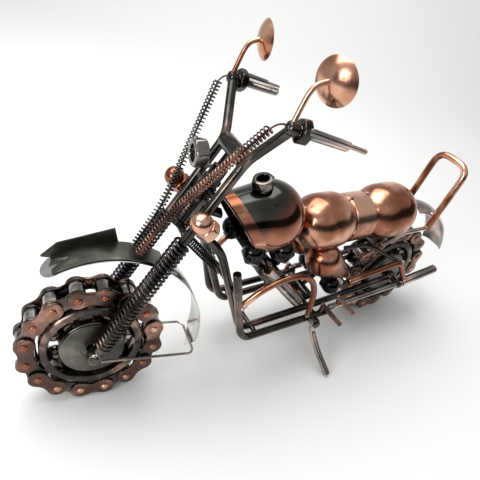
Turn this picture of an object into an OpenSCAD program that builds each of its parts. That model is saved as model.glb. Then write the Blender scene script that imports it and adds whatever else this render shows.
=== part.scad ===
/* [Overall] */
// Distance between the two wheel centres
wheelbase = 213; // [206:1:230]
// Angle of the steering axis, back from upright
rake = 31; // [29:1:33]
// How far the fork is turned to the right at rest
steer_rest = 10; // [0:1:12]
// Half the distance between the two fork legs
fork_half = 14; // [13.6:0.1:15]
// Half the distance between the two outer cradle tubes
cradle_half = 21; // [20:0.5:23]

/* [Wheels] */
// Pitch of the roller chain that makes each tyre
chain_pitch = 12.7; // [12.5:0.1:13.5]
// Radius of a link plate's round end
plate_r = 5.1; // [4.8:0.1:5.2]
// Thickness of a link plate
plate_t = 1.5; // [1.2:0.1:1.6]
// Length of a roller
roller_len = 7.7; // [7:0.1:8]
// Radius of a roller
roller_r = 4.2; // [3.8:0.1:4.3]
// Radius of a chain pin
pin_r = 2; // [1.8:0.1:2.2]
// Outer diameter of the hub bearing
bearing_od = 52; // [50:0.5:52.5]
// Bore of the hub bearing
bearing_bore = 25; // [22:0.5:26]
// Width of the hub bearing
bearing_w = 14; // [12:0.5:14.5]
// Diameter of a bearing ball
ball_d = 7.94; // [7:0.1:8]
// Number of balls in a bearing
balls = 9; // [7:1:10]
// Radius of an axle
axle_r = 2; // [1.6:0.1:2.2]
// Radius of a hub washer
washer_r = 16.2; // [15:0.2:16.6]

/* [Fork and handlebar] */
// Radius of a fork leg rod
leg_r = 2.4; // [2:0.1:2.5]
// Outer radius of a fork spring
leg_spring_r = 4.7; // [4.2:0.1:4.8]
// Height up the steering axis at which the bars bend
bar_bend = 126; // [122:1:130]
// Length of a grip bolt beyond its nut's inner face
grip_len = 25; // [18:1:28]
// Radius of a grip bolt
grip_r = 2.4; // [2:0.1:2.5]
// Radius of a mirror
mirror_r = 9.8; // [8:0.2:11]
// Turn of the left mirror towards the rider
mirror_turn_left = 24; // [0:1:30]
// Turn of the right mirror towards the rider
mirror_turn_right = 3; // [0:1:30]
// Radius of the mudguard's arc
guard_r = 50.6; // [50:0.2:52]
// Half the width of the mudguard
guard_half = 8; // [7:0.2:8.2]
// Thickness of the mudguard sheet
guard_t = 0.8; // [0.6:0.1:1]

/* [Frame and body] */
// Radius of the frame tubes
tube_r = 2.3; // [2:0.1:2.4]
// Radius of the tank's round body
tank_r = 20; // [19:0.2:20.6]
// Radius of the front seat shell
seat_front_r = 17.4; // [17:0.2:18]
// Radius of the rear seat shell
seat_rear_r = 18.4; // [17.6:0.2:18.6]
// Outer radius of the ring between the seat shells
seat_ring_r = 15.4; // [14.6:0.2:15.8]
// Wall of the stamped shells
shell_t = 1; // [0.8:0.1:1.4]
// Radius of the sissy bar's rod
sissy_r = 2.3; // [1.9:0.1:2.5]
// Radius of the silencers
silencer_r = 3.1; // [2.6:0.1:3.3]
// Radius of the kickstand's rod
stand_r = 2.1; // [1.7:0.1:2.2]
// Radius of the crash bars
crash_r = 1.9; // [1.5:0.1:2]
// Radius of the exhaust pipes
pipe_r = 2.1; // [1.6:0.1:2.2]
// Radius of the rods beside the rear wheel
saddle_r = 2; // [1.4:0.1:2.1]

/* [Hidden] */
$fn = 48;
// clearances
gap = 0.1;
run_gap = 0.05;
// room left where one welded piece is cut to another
fit = 0.05;
// how much larger a rod's corner ball is than the rod
knuckle_extra = 0.12;
// wheels
// links in each tyre, an even number because inner and outer links take turns
links = 16;
pitch_r = chain_pitch / (2 * sin(180 / links));
step = 360 / links;
axle_z = pitch_r * cos(step / 2) + plate_r;
inner_y = roller_len / 2 + gap;
outer_y = inner_y + plate_t + gap;
pin_half = outer_y + plate_t + 1;
ball_path = (bearing_od + bearing_bore) / 4;
race_r = ball_d / 2 + run_gap;
ring_gap = ball_d * 0.33;
washer_t = 1;
washer_y = bearing_w / 2 + gap;
washer_hole = axle_r + 1;
// steering axis and fork
// the turned front wheel leans, so its centre is a little higher than the rear one's
front_lean = asin(sin(steer_rest) * sin(rake));
front_z = axle_z * cos(front_lean) + (outer_y + plate_t) * sin(front_lean);
front_c = [0, 0, front_z];
rear_c = [wheelbase, 0, axle_z];
spring_lo = 6;
spring_hi = 78.4;
head_lo = 83;
head_hi = 99;
head_r = 5;
stem_r = 2.6;
yoke_s = 79.5;
cap_s = 101;
riser_s = bar_bend - 1;
guard_c = [6.3, 3.9];
guard_front = 124;
strip_back = 56;
guard_back = -24;
// frame
rail_z = 27.5;
inner_half = fork_half - 0.8;
front_x = 0.405 * wheelbase;
peg_x = 0.68 * wheelbase;
tank_c = [95, 0, 102.5];
seat_front_c = [138.5, 0, 91];
seat_axis_z = 90.5;
seat_rear_c = [190, 0, seat_axis_z];
ring_x = [152, 169];
seat_stretch = 4;
sissy_half = 12.5;
// the frame's origin is under the middle of the whole model's box
origin_x = (wheelbase + 24) / 2;
origin_y = 3.95;

// ---- helpers ----
// everything is moved so that the origin is under the middle of the model
module bike() { translate([-origin_x, origin_y, 0]) children(); }

// rotates about the steering axis through the front wheel centre
module steered() {
  bike() translate(front_c) rotate([0, rake, 0]) rotate([0, 0, -steer_rest])
    rotate([0, -rake, 0]) translate(-front_c) children();
}

// point on or beside the steering axis: s up the axis, f forwards of it, y across
function on_axis(s, y = 0, f = 0) =
  [s * sin(rake) - f * cos(rake), y, front_z + s * cos(rake) + f * sin(rake)];

module at_steering(s, y = 0, f = 0) {
  translate(on_axis(s, y, f)) rotate([0, rake, 0]) children();
}

module both_sides() {
  children();
  mirror([0, 1, 0]) children();
}

// straight rod between two points
module rod(p, q, r) {
  d = q - p;
  h = norm(d);
  translate(p) rotate([0, acos(d[2] / h), atan2(d[1], d[0])]) cylinder(h = h, r = r);
}

// ball at a corner, turned and a little larger than the rods that meet in it
module knuckle(p, r) { translate(p) rotate([20, 30, 10]) sphere(r = r + knuckle_extra); }

// rod along a list of points
module bent_rod(pts, r) {
  for (i = [0 : len(pts) - 2]) rod(pts[i], pts[i + 1], r);
  if (len(pts) > 2) for (i = [1 : len(pts) - 2]) knuckle(pts[i], r);
}

// tube between two points
module sleeve(p, q, r_out, r_in) {
  d = q - p;
  h = norm(d);
  translate(p) rotate([0, acos(d[2] / h), atan2(d[1], d[0])]) difference() {
    cylinder(h = h, r = r_out);
    translate([0, 0, -1]) cylinder(h = h + 2, r = r_in);
  }
}

// a solid's axis turned from +Z to a direction
module along(p, d) {
  h = norm(d);
  translate(p) rotate([0, acos(d[2] / h), atan2(d[1], d[0])]) children();
}

module hex_nut(af, h, bore) {
  difference() {
    cylinder(h = h, r = af / sqrt(3), $fn = 6);
    translate([0, 0, -1]) cylinder(h = h + 2, r = bore);
  }
}

// ---- wheel pieces, built about the origin with the axle along Y ----
module across() { rotate([90, 0, 0]) children(); }

module at_pin(i) {
  rotate([0, -(90 - step / 2 + i * step), 0]) translate([pitch_r, 0, 0]) children();
}

module link_plate(i, y) {
  chord = pitch_r * cos(step / 2);
  rotate([0, -(90 + i * step), 0]) translate([chord, y + plate_t, 0]) across() difference() {
    union() {
      translate([0, chain_pitch / 2, 0]) cylinder(h = plate_t, r = plate_r);
      translate([0, -chain_pitch / 2, 0]) cylinder(h = plate_t, r = plate_r);
      translate([-0.72 * plate_r, -chain_pitch / 2, 0])
        cube([1.44 * plate_r, chain_pitch, plate_t]);
    }
    for (s = [-1, 1]) translate([0, s * chain_pitch / 2, -1])
      cylinder(h = plate_t + 2, r = pin_r + run_gap);
  }
}

module chain_plates() {
  for (i = [0 : links - 1]) {
    y = i % 2 == 0 ? outer_y : inner_y;
    link_plate(i, y);
    link_plate(i, -y - plate_t);
  }
}

// each roller is one piece with the pin through it
module chain_rollers() {
  for (i = [0 : links - 1]) at_pin(i) across() {
    translate([0, 0, -roller_len / 2]) cylinder(h = roller_len, r = roller_r);
    translate([0, 0, -pin_half]) cylinder(h = 2 * pin_half, r = pin_r);
  }
}

module race_ring(r_in, r_out) {
  across() rotate_extrude() difference() {
    translate([r_in, -bearing_w / 2]) square([r_out - r_in, bearing_w]);
    translate([ball_path, 0]) circle(r = race_r);
  }
}

module outer_ring() {
  race_ring(ball_path + ring_gap, bearing_od / 2);
  for (i = [0 : links - 1]) for (s = [-1, 1]) rotate([0, -(90 - step / 2 + i * step), 0])
    translate([bearing_od / 2 - 0.6, s * (inner_y + plate_t / 2), 0]) rotate([0, 90, 0])
      cylinder(h = pitch_r - plate_r - bearing_od / 2 + 0.9, r = 0.7);
}

module inner_ring() { race_ring(bearing_bore / 2, ball_path - ring_gap); }

module ball_set() {
  for (i = [0 : balls - 1]) rotate([0, i * 360 / balls, 0]) translate([ball_path, 0, 0])
    sphere(r = ball_d / 2);
}

module hub_washers() {
  for (s = [-1, 1]) translate([0, s * (washer_y + washer_t / 2), 0]) across() difference() {
    union() {
      translate([0, 0, -washer_t / 2]) cylinder(h = washer_t, r = washer_r);
      translate([0, 0, s > 0 ? washer_t / 2 - 0.05 : -washer_t / 2 - 4])
        cylinder(h = 4.05, r = bearing_bore / 2 - run_gap);
    }
    translate([0, 0, -6]) cylinder(h = 12, r = axle_r + run_gap);
  }
}

// ---- front wheel ----
module front_place() { steered() translate(front_c) children(); }
module rear_place() { bike() translate(rear_c) children(); }

module front_chain_plates() { color([0.55, 0.36, 0.30]) front_place() chain_plates(); }
module front_chain_rollers() { color([0.62, 0.60, 0.58]) front_place() chain_rollers(); }
module front_outer_ring() { color([0.40, 0.36, 0.35]) front_place() outer_ring(); }
module front_balls() { color([0.75, 0.75, 0.75]) front_place() ball_set(); }
module front_inner_ring() { color([0.35, 0.33, 0.33]) front_place() inner_ring(); }
module front_hub_washers() { color([0.22, 0.22, 0.23]) front_place() hub_washers(); }
module front_axle() {
  color([0.40, 0.38, 0.37]) front_place() across()
    translate([0, 0, -fork_half - 3.2]) cylinder(h = 2 * fork_half + 6.4, r = axle_r);
}

// ---- rear wheel ----
module rear_chain_plates() { color([0.45, 0.40, 0.38]) rear_place() chain_plates(); }
module rear_chain_rollers() { color([0.62, 0.60, 0.58]) rear_place() chain_rollers(); }
module rear_outer_ring() { color([0.40, 0.36, 0.35]) rear_place() outer_ring(); }
module rear_balls() { color([0.75, 0.75, 0.75]) rear_place() ball_set(); }
module rear_inner_ring() { color([0.35, 0.33, 0.33]) rear_place() inner_ring(); }
module rear_hub_washers() { color([0.22, 0.22, 0.23]) rear_place() hub_washers(); }
module rear_axle() {
  color([0.40, 0.38, 0.37]) rear_place() across()
    translate([0, 0, -cradle_half - 3]) cylinder(h = 2 * cradle_half + 6, r = axle_r);
}

// ---- fork ----
// one leg: eye round the axle, straight rod through the spring, then the swept handlebar
bar_top = on_axis(bar_bend, fork_half) + [7.5, 19.5, 22.5];
bar_dir = [0.97, 0.08, -0.23];

module fork_leg() {
  difference() {
    union() {
      bent_rod([on_axis(4, fork_half), on_axis(bar_bend, fork_half), bar_top], leg_r);
      translate(on_axis(0, fork_half)) across() translate([0, 0, -2.4]) cylinder(h = 4.8, r = 4);
      along(bar_top - bar_dir * 2.4, bar_dir) cylinder(h = 4.8, r = leg_r + 0.5);
    }
    translate(on_axis(0, fork_half)) across()
      translate([0, 0, -5]) cylinder(h = 10, r = axle_r + run_gap);
    along(bar_top - bar_dir * 4, bar_dir) cylinder(h = 10, r = 1.6);
  }
}

module fork_left() { color([0.30, 0.28, 0.28]) steered() mirror([0, 1, 0]) fork_leg(); }
module fork_right() { color([0.30, 0.28, 0.28]) steered() fork_leg(); }

module fork_springs() {
  color([0.42, 0.36, 0.33]) steered() both_sides()
    sleeve(on_axis(spring_lo, fork_half), on_axis(spring_hi, fork_half), leg_spring_r, leg_r + gap);
}

// stem that turns in the head tube, with the crossbar of the lower yoke and the upper yoke
module steering_stem() {
  color([0.26, 0.25, 0.25]) steered() difference() {
    union() {
      rod(on_axis(yoke_s - 1.5), on_axis(riser_s - 4.5), stem_r);
      rod(on_axis(yoke_s + 0.9, -fork_half), on_axis(yoke_s + 0.9, fork_half), 1.8);
      rod(on_axis(cap_s + 2.2, -fork_half), on_axis(cap_s + 2.2, fork_half), 1.8);
      rod(on_axis(yoke_s), on_axis(head_lo - 0.3), head_r);
      rod(on_axis(head_hi + 0.3), on_axis(cap_s + 8), head_r);
      rod(on_axis(cap_s + 8), on_axis(cap_s + 14), head_r - 1);
      rod(on_axis(yoke_s + 0.9), on_axis(yoke_s - 4, 0, -7), 1.4);
    }
    both_sides() rod(on_axis(yoke_s - 8, fork_half), on_axis(riser_s, fork_half), leg_r + gap);
  }
}

module bar_riser() {
  color([0.32, 0.30, 0.30]) steered() difference() {
    rod(on_axis(riser_s, -fork_half), on_axis(riser_s, fork_half), 4.3);
    both_sides() bent_rod([on_axis(riser_s - 20, fork_half), on_axis(bar_bend, fork_half), bar_top],
      leg_r + gap);
    rod(on_axis(riser_s - 12), on_axis(riser_s - 4.4), stem_r + gap);
  }
}

lamp_c = on_axis(riser_s - 8.5, 0, 11);
module headlamp_nut() {
  color([0.62, 0.40, 0.32]) steered() {
    translate(lamp_c) rotate([0, -90, 0]) hex_nut(12.6, 6.5, 4.1);
    rod(lamp_c + [-1, 0, -6], on_axis(riser_s - 12, 0, 4), 1);
  }
}

signal_s = 92;
signal_c = on_axis(signal_s, fork_half + 9);
signal_dir = [-0.67, 0, 0.742];
module turn_signals() {
  color([0.66, 0.42, 0.33]) steered() both_sides() difference() {
    union() {
      along(signal_c - signal_dir * 3, signal_dir) cylinder(h = 5, r = 10 / sqrt(3), $fn = 6);
      translate(signal_c + signal_dir * 5) rotate([20, 30, 10]) sphere(r = 5.3);
      rod(signal_c, on_axis(signal_s, fork_half), 1.2);
    }
    rod(on_axis(70, fork_half), on_axis(100, fork_half), leg_r + gap);
  }
}

module grip_nuts() {
  color([0.34, 0.31, 0.30]) steered() both_sides()
    along(bar_top + bar_dir * 2.6, bar_dir) hex_nut(10, 4, grip_r + gap);
}

module grip_bolts() {
  color([0.40, 0.38, 0.37]) steered() both_sides() {
    along(bar_top - bar_dir * 2, bar_dir) cylinder(h = 4.5, r = 1.5);
    along(bar_top + bar_dir * 2.5, bar_dir) cylinder(h = grip_len, r = grip_r);
  }
}

module levers() {
  color([0.34, 0.33, 0.33]) steered() both_sides() {
    rod(bar_top + [5, 6.1, 1], bar_top + [23, 7.9, -3.7], 1.9);
    rod(bar_top + [22, 7.8, -3.4], bar_top + [31, 8.9, -5.9], 1.1);
    rod(bar_top + [5.4, 6.2, 0.9], bar_top + [4.6, 5, 1], 1.2);
  }
}

stem_pts = [[-0.8, -0.2, 1], [3.2, -0.4, 13.2], [5.6, -0.2, 17.2], [10.9, 0, 19]];
mirror_c = bar_top + [14, 0, 19];
module mirror_stems() {
  color([0.70, 0.44, 0.35]) steered() both_sides()
    bent_rod([for (p = stem_pts) bar_top + p], 1.2);
}

module mirror_dish(turn) {
  depth = 3.6;
  ball = (mirror_r * mirror_r + depth * depth) / (2 * depth);
  rotate([0, 0, turn]) rotate([0, 90, 0]) difference() {
    translate([0, 0, ball - depth]) intersection() {
      difference() {
        sphere(r = ball);
        sphere(r = ball - 0.9);
      }
      translate([0, 0, -ball - 1]) cylinder(h = depth + 1, r = mirror_r + 1);
    }
  }
  rotate([0, 0, turn]) rotate([0, 90, 0]) translate([0, 0, -0.8]) cylinder(h = 0.8, r = mirror_r - 0.4);
}

module mirrors() {
  color([0.62, 0.42, 0.34]) steered() {
    translate(mirror_c) mirror_dish(-mirror_turn_right);
    mirror([0, 1, 0]) translate(mirror_c) mirror_dish(-mirror_turn_left);
  }
}

// long thin springs that stand for the cables, each running along a wire
cable_lo = on_axis(58, 4.2, 10);
cable_mid = on_axis(84, 5.4, 10);
cable_hi = bar_top + [-8.5, -2.6, -1];
module cable_springs() {
  color([0.55, 0.38, 0.32]) steered() both_sides() {
    bent_rod([cable_lo, cable_mid, cable_hi], 2.3);
    rod(cable_hi, bar_top + [-3.2, -1.4, 0], 0.6);
  }
}

// ---- mudguard ----
module guard_place() { steered() translate(front_c + [guard_c[0], 0, guard_c[1]]) children(); }

module guard_arc(r, t, half, a0, a1) {
  rotate([90, 0, 0]) rotate([0, 0, a0]) rotate_extrude(angle = a1 - a0, $fn = 96)
    translate([r, -half]) square([t, 2 * half]);
}

module mudguard() {
  color([0.78, 0.78, 0.78]) guard_place() difference() {
    guard_arc(guard_r, guard_t, guard_half, guard_back, guard_front);
    rotate([0, -guard_front, 0]) translate([guard_r - 3, 0, 0]) rotate([0, 90, 0])
      difference() {
        translate([-1, -guard_half - 1, 0]) cube([9, 2 * guard_half + 2, 8]);
        translate([7.2, 0, -1]) cylinder(h = 10, r = guard_half + 0.6);
      }
    rotate([0, -guard_back, 0]) translate([guard_r - 3, 0, 0]) rotate([0, 90, 0])
      both_sides() rotate([0, 0, -40]) translate([-20, 5, -1]) cube([30, 20, 10]);
  }
}

module mudguard_strip() {
  strip_front = guard_front - 7;
  color([0.20, 0.20, 0.20]) guard_place() difference() {
    guard_arc(guard_r + guard_t + 0.05, guard_t, guard_half - 0.6, strip_back, strip_front);
    rotate([0, -strip_front, 0]) translate([guard_r - 3, 0, 0]) rotate([0, 90, 0])
      linear_extrude(height = 12) polygon([[-3, -3.4], [9, 0], [-3, 3.4]]);
  }
}

plate_y = 6;
module number_plate() {
  base = guard_r + 2 * guard_t + 0.1;
  color([0.24, 0.24, 0.23]) guard_place() difference() {
    translate([0, plate_y + 0.5, 0]) across() linear_extrude(height = 1)
      polygon([[-25.5, 43], [-28, 47.5], [-20.5, 54.2], [6, 60.2], [7.8, 50]]);
    translate([0, 5, 0]) across() cylinder(h = 20, r = base, center = true, $fn = 96);
  }
}

stay_r = 0.75;
module mudguard_stay() {
  // the cross piece of the stay rests against the guard's inner face
  reach = guard_c[0] + sqrt(guard_r * guard_r - pow(10 + guard_c[1], 2)) - stay_r - 0.02;
  side = fork_half - 1;
  tail = front_c + [reach, 0, -10];
  color([0.42, 0.40, 0.39]) steered() difference() {
    union() {
      bent_rod([
        front_c + [0, side, -4.8], front_c + [reach - 2, side, -10], tail + [0, side - 3, 0],
        tail + [0, 3 - side, 0], front_c + [reach - 2, -side, -10], front_c + [0, -side, -4.8]
      ], stay_r);
      both_sides() translate(front_c + [0, side, -4.8]) sphere(r = 1.2);
    }
    translate(front_c) both_sides() translate([0, fork_half, 0]) across()
      translate([0, 0, -2.5]) cylinder(h = 5, r = 4 + gap);
  }
}

// ---- frame ----
module head_tube() {
  color([0.24, 0.24, 0.24]) bike() difference() {
    union() {
      rod(on_axis(head_lo), on_axis(head_hi), head_r);
      rod(on_axis(head_hi - 3.4), on_axis(head_hi - 0.6), head_r + 0.9);
    }
    rod(on_axis(head_lo - 2), on_axis(head_hi + 2), stem_r + run_gap);
  }
}

tank_front = [74, 0, 105.5];
module neck_brace() {
  color([0.28, 0.27, 0.27]) bike() difference() {
    rod(on_axis(head_lo + 9), tank_c + [-14, 0, -2], 2.6);
    rod(on_axis(head_lo - 2), on_axis(head_hi + 2), head_r - 0.1);
    tank_turned([0]);
  }
}

function frame_points(side) = [
  on_axis(head_lo + 3, 4 * side), [62, side * (inner_half - 1.6), 92],
  [front_x - 2, side * inner_half, rail_z + 5], [front_x + 3, side * inner_half, rail_z],
  [peg_x, side * inner_half, rail_z + 3], [wheelbase, side * inner_half, axle_z]
];
frame_pts = frame_points(1);
module frame_loop(side) {
  eye = [wheelbase, side * inner_half, axle_z];
  difference() {
    union() {
      bent_rod(frame_points(side), tube_r);
      translate(eye) across() translate([0, 0, -tube_r]) cylinder(h = 2 * tube_r, r = 4);
    }
    translate(eye) across() translate([0, 0, -6]) cylinder(h = 12, r = axle_r + run_gap);
    rod(on_axis(head_lo - 2), on_axis(head_hi + 2), head_r - 0.1);
  }
}
module frame_right() { color([0.30, 0.29, 0.28]) bike() frame_loop(1); }
module frame_left() { color([0.30, 0.29, 0.28]) bike() frame_loop(-1); }

cradle_pts = [
  [68, cradle_half, 84], [front_x - 5, cradle_half, rail_z + 6],
  [front_x, cradle_half, rail_z], [peg_x + 6, cradle_half, rail_z + 2]
];
module cradle_right() { color([0.33, 0.31, 0.30]) bike() bent_rod(cradle_pts, tube_r); }
module cradle_left() {
  eye_out = stand_top[1] - stand_eye / 2;
  color([0.33, 0.31, 0.30]) bike() {
    mirror([0, 1, 0]) bent_rod(cradle_pts, tube_r);
    rod([stand_top[0], -cradle_half, stand_top[2]], [stand_top[0], eye_out - 1, stand_top[2]], stand_pin_r);
    rod([stand_top[0], eye_out - 0.2, stand_top[2]], [stand_top[0], eye_out - 1.4, stand_top[2]], 2.6);
  }
}

// rods across the frame: at the steering spring, at the front corners and under the pegs
cross_r = 1.6;
cross_c = [[73, 0, 66], [front_x + 8, 0, rail_z], [peg_x - 6, 0, rail_z + 2.4]];
module cross_rod(c, r) { rod(c + [0, -cradle_half, 0], c + [0, cradle_half, 0], r); }

module cross_bars() {
  color([0.30, 0.29, 0.28]) bike() {
    difference() {
      for (c = cross_c) cross_rod(c, cross_r);
      both_sides() bent_rod(frame_pts, tube_r + gap);
      both_sides() bent_rod(cradle_pts, tube_r + gap);
    }
  }
}

// ---- tank and seat ----
tank_dir = [0.85, 0, 0.53];
tank_nose = 31;

// turned profile of the tank, a round body with a long tapered nose, radius along x
module tank_outline(wall) {
  intersection() {
    union() {
      circle(r = tank_r - wall);
      polygon([[0, -tank_nose], [14.6 - wall, -tank_nose], [tank_r - 0.3 - wall, 0], [0, 0]]);
    }
    translate([0, -60]) square([60, 120]);
  }
}

module tank_turned(wall) {
  translate(tank_c) rotate([0, 90, 0]) rotate_extrude() difference() {
    tank_outline(wall[0]);
    if (len(wall) > 1) tank_outline(wall[1]);
  }
}

module behind_rim(t) { along(tank_front + tank_dir * t, tank_dir) cylinder(h = 60, r = 60); }

module tank_shell() {
  color([0.62, 0.45, 0.38]) bike() difference() {
    intersection() {
      tank_turned([0, shell_t]);
      behind_rim(-2);
    }
    translate(seat_front_c) rotate([0, 90, 0]) cylinder(h = 50, r = 8, center = true);
  }
}

module tank_band() {
  color([0.66, 0.46, 0.38]) bike() intersection() {
    tank_turned([-0.8, -0.05]);
    along(tank_front - tank_dir * 1.4, tank_dir) cylinder(h = 6, r = 40);
  }
}

module filler_nut() {
  p = tank_c + [-8, 0, tank_r * 0.916];
  color([0.45, 0.38, 0.35]) bike() difference() {
    along(p, [-0.30, 0, 0.95]) difference() {
      cylinder(h = 6.4, r = 10.6 / sqrt(3), $fn = 6);
      translate([0, 0, 1]) cylinder(h = 9, r = 3.3);
    }
    tank_turned([-0.05]);
  }
}

// a stamped shell stretched along the bike: two half balls with a short barrel between
module seat_shell(c, r, wall) {
  translate(c) rotate([0, 90, 0]) {
    translate([0, 0, -seat_stretch]) sphere(r = r - wall);
    translate([0, 0, -seat_stretch]) cylinder(h = 2 * seat_stretch, r = r * 0.999 - wall);
    translate([0, 0, seat_stretch]) sphere(r = r - wall);
  }
}

module seat_front() {
  color([0.72, 0.48, 0.39]) bike() difference() {
    seat_shell(seat_front_c, seat_front_r, 0);
    seat_shell(seat_front_c, seat_front_r, shell_t);
    translate(tank_c) sphere(r = tank_r + fit);
    translate([ring_x[0] + 0.5, 0, seat_axis_z]) rotate([0, 90, 0]) cylinder(h = 40, r = 30);
  }
}

module seat_ring() {
  color([0.75, 0.50, 0.41]) bike() translate([ring_x[0], 0, seat_axis_z]) rotate([0, 90, 0])
    difference() {
      translate([0, 0, 0.6]) cylinder(h = ring_x[1] - ring_x[0] - 1.2, r = seat_ring_r);
      translate([0, 0, -1]) cylinder(h = 40, r = seat_ring_r - shell_t);
    }
}

module seat_rear() {
  color([0.72, 0.48, 0.39]) bike() difference() {
    seat_shell(seat_rear_c, seat_rear_r, 0);
    seat_shell(seat_rear_c, seat_rear_r, shell_t);
    translate([ring_x[1] - 0.5, 0, seat_axis_z]) rotate([0, -90, 0]) cylinder(h = 40, r = 30);
  }
}

// ---- rear end ----
sissy_base = [wheelbase + 14, sissy_half, 77];
sissy_top = [wheelbase + 26, sissy_half, 124];
sissy_corner = 6.5;
module sissy_bar() {
  lean = sissy_top - sissy_base;
  height = norm(lean) - sissy_corner;
  color([0.72, 0.47, 0.38]) bike() translate([sissy_base[0], 0, sissy_base[2]])
    rotate([0, atan2(lean[0], lean[2]), 0]) {
      both_sides() {
        translate([0, sissy_half, 0]) cylinder(h = height, r = sissy_r);
        translate([0, sissy_half - sissy_corner, height]) rotate([0, -90, 0])
          rotate_extrude(angle = 90) translate([sissy_corner, 0]) circle(r = sissy_r);
      }
      translate([0, 0, height + sissy_corner]) rotate([90, 0, 0])
        cylinder(h = 2 * (sissy_half - sissy_corner), r = sissy_r, center = true);
    }
}

fender_rod = [wheelbase + 16.7, 0, axle_z + 50.6];
module sissy_struts() {
  color([0.62, 0.44, 0.37]) bike() difference() {
    both_sides() bent_rod([
      [wheelbase - 28, sissy_half + 1.6, 73], [wheelbase - 12, sissy_half + 0.8, 79.5],
      sissy_base
    ], 1.5);
    // the rod that carries the fender between the sissy bar's legs
    rod(fender_rod + [0, -sissy_half, 0], fender_rod + [0, sissy_half, 0], 1.2);
    both_sides() rod(sissy_base - (sissy_top - sissy_base) * 0.1, sissy_top, sissy_r + 0.02);
    seat_shell(seat_rear_c, seat_rear_r + fit, 0);
  }
}

fender_r = 56.5;
module rear_fender() {
  crown = 16;
  color([0.34, 0.34, 0.34]) bike() difference() {
    translate(rear_c) rotate([90, 0, 0]) rotate([0, 0, 12]) rotate_extrude(angle = 74, $fn = 96)
      intersection() {
        translate([fender_r - crown, 0]) difference() {
          circle(r = crown);
          circle(r = crown - 0.9);
        }
        translate([fender_r - 5, -9]) square([10, 18]);
      }
    seat_shell(seat_rear_c, seat_rear_r + 0.3, 0);
    both_sides() rod(sissy_base - [0, 0, 6], sissy_top, sissy_r + 0.02);
  }
  color([0.34, 0.34, 0.34]) bike() translate(rear_c) rotate([0, -11.6, 0])
    translate([fender_r - 1.6, -4, 0]) rotate([0, 25, 0]) cube([8, 8, 0.9]);
}

stay_rod_r = 1.4;
stay_pts = [[152, 12.4, 76.4], [172, 13, 75.5], [wheelbase - 8, cradle_half - 0.6, 58]];
module rear_stays() {
  color([0.40, 0.36, 0.34]) bike() both_sides() {
    rod(stay_pts[0], stay_pts[1], stay_rod_r);
    knuckle(stay_pts[1], stay_rod_r);
    rod(stay_pts[1], stay_pts[2], stay_rod_r);
  }
}

saddle_pts = [
  [158, cradle_half, 54], [wheelbase - 14, cradle_half, 59.5], [wheelbase - 8, cradle_half, 57],
  [wheelbase + 3.6, cradle_half, axle_z + 4]
];
module saddle_rods() { color([0.72, 0.47, 0.38]) bike() both_sides() bent_rod(saddle_pts, saddle_r); }

pipe_in = [peg_x + 5.4, cradle_half, rail_z + 5.4];
module exhaust_pipes() {
  color([0.42, 0.38, 0.36]) bike() difference() {
    both_sides() {
      rod(pipe_in, [wheelbase + 3, cradle_half, axle_z + 0.2], pipe_r);
      translate([wheelbase, cradle_half, axle_z]) across()
        translate([0, 0, -1.6]) cylinder(h = 3.2, r = 3.6);
    }
    both_sides() translate([wheelbase, cradle_half, axle_z]) across()
      translate([0, 0, -6]) cylinder(h = 12, r = axle_r + run_gap);
    both_sides() bent_rod(cradle_pts, tube_r + gap);
    both_sides() bent_rod(saddle_pts, saddle_r + fit);
  }
}

module silencers() {
  color([0.55, 0.42, 0.38]) bike() both_sides() difference() {
    rod([wheelbase + 3.7, cradle_half, axle_z + 0.3], [wheelbase + 36, cradle_half, axle_z + 5.4],
      silencer_r);
    rod([wheelbase + 20, cradle_half, axle_z + 2.9], [wheelbase + 40, cradle_half, axle_z + 6.03],
      silencer_r - 0.9);
    bent_rod(saddle_pts, saddle_r + fit);
  }
}

// ---- engine ----
stud_a = [82, 12, 88];
stud_b = [103, 12, 85];
core_a = [98, 0, 66];
core_b = [112, 0, 64];
stud_r = 2.4;
// the cross shaft the studs stand on, the rod down to the lower shaft, and that shaft
barrel_c = [104, 0, 62];
barrel_half = 10;
barrel_r = 6;
lower_c = [peg_x - 6, 0, rail_z + 9];
link_r = 3;
lower_r = 3.4;
module engine_shafts() {
  color([0.28, 0.27, 0.27]) bike() difference() {
    union() {
      both_sides() {
        rod(core_a, stud_a, stud_r);
        rod(core_b, stud_b, stud_r);
      }
      rod(barrel_c - [0, barrel_half, 0], barrel_c + [0, barrel_half, 0], barrel_r);
      rod(barrel_c, lower_c - [0, 0, 3], link_r);
      rod(lower_c - [0, inner_half, 0], lower_c + [0, inner_half, 0], lower_r);
    }
    both_sides() bent_rod(frame_pts, tube_r + gap);
    tank_turned([-0.9]);
  }
}

module dome_nut(p, d) {
  u = d / norm(d);
  along(p - u * 5, d) difference() {
    union() {
      cylinder(h = 5, r = 12 / sqrt(3), $fn = 6);
      translate([0, 0, 5]) sphere(r = 5.9);
    }
    translate([0, 0, -7]) cylinder(h = 12.2, r = stud_r + fit);
  }
}

module dome_nuts() {
  color([0.16, 0.16, 0.17]) bike() difference() {
    both_sides() {
      dome_nut(stud_a, stud_a - core_a);
      dome_nut(stud_b, stud_b - core_b);
    }
    tank_turned([-0.9]);
    both_sides() bent_rod(frame_pts, tube_r + gap);
  }
}

module kick_bolt() {
  color([0.22, 0.21, 0.21]) bike() difference() {
    rod([98.5, -9, 69], [133, -9, 31.5], 4.2);
    rod(barrel_c - [0, 12, 0], barrel_c + [0, 12, 0], barrel_r + fit);
    rod(barrel_c, lower_c - [0, 0, 3], link_r + fit);
    both_sides() bent_rod(frame_pts, tube_r + gap);
    rod(core_a, [stud_a[0], -stud_a[1], stud_a[2]], stud_r + fit);
    rod(core_b, [stud_b[0], -stud_b[1], stud_b[2]], stud_r + fit);
    cross_rod(cross_c[2], cross_r + fit);
  }
}

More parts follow.
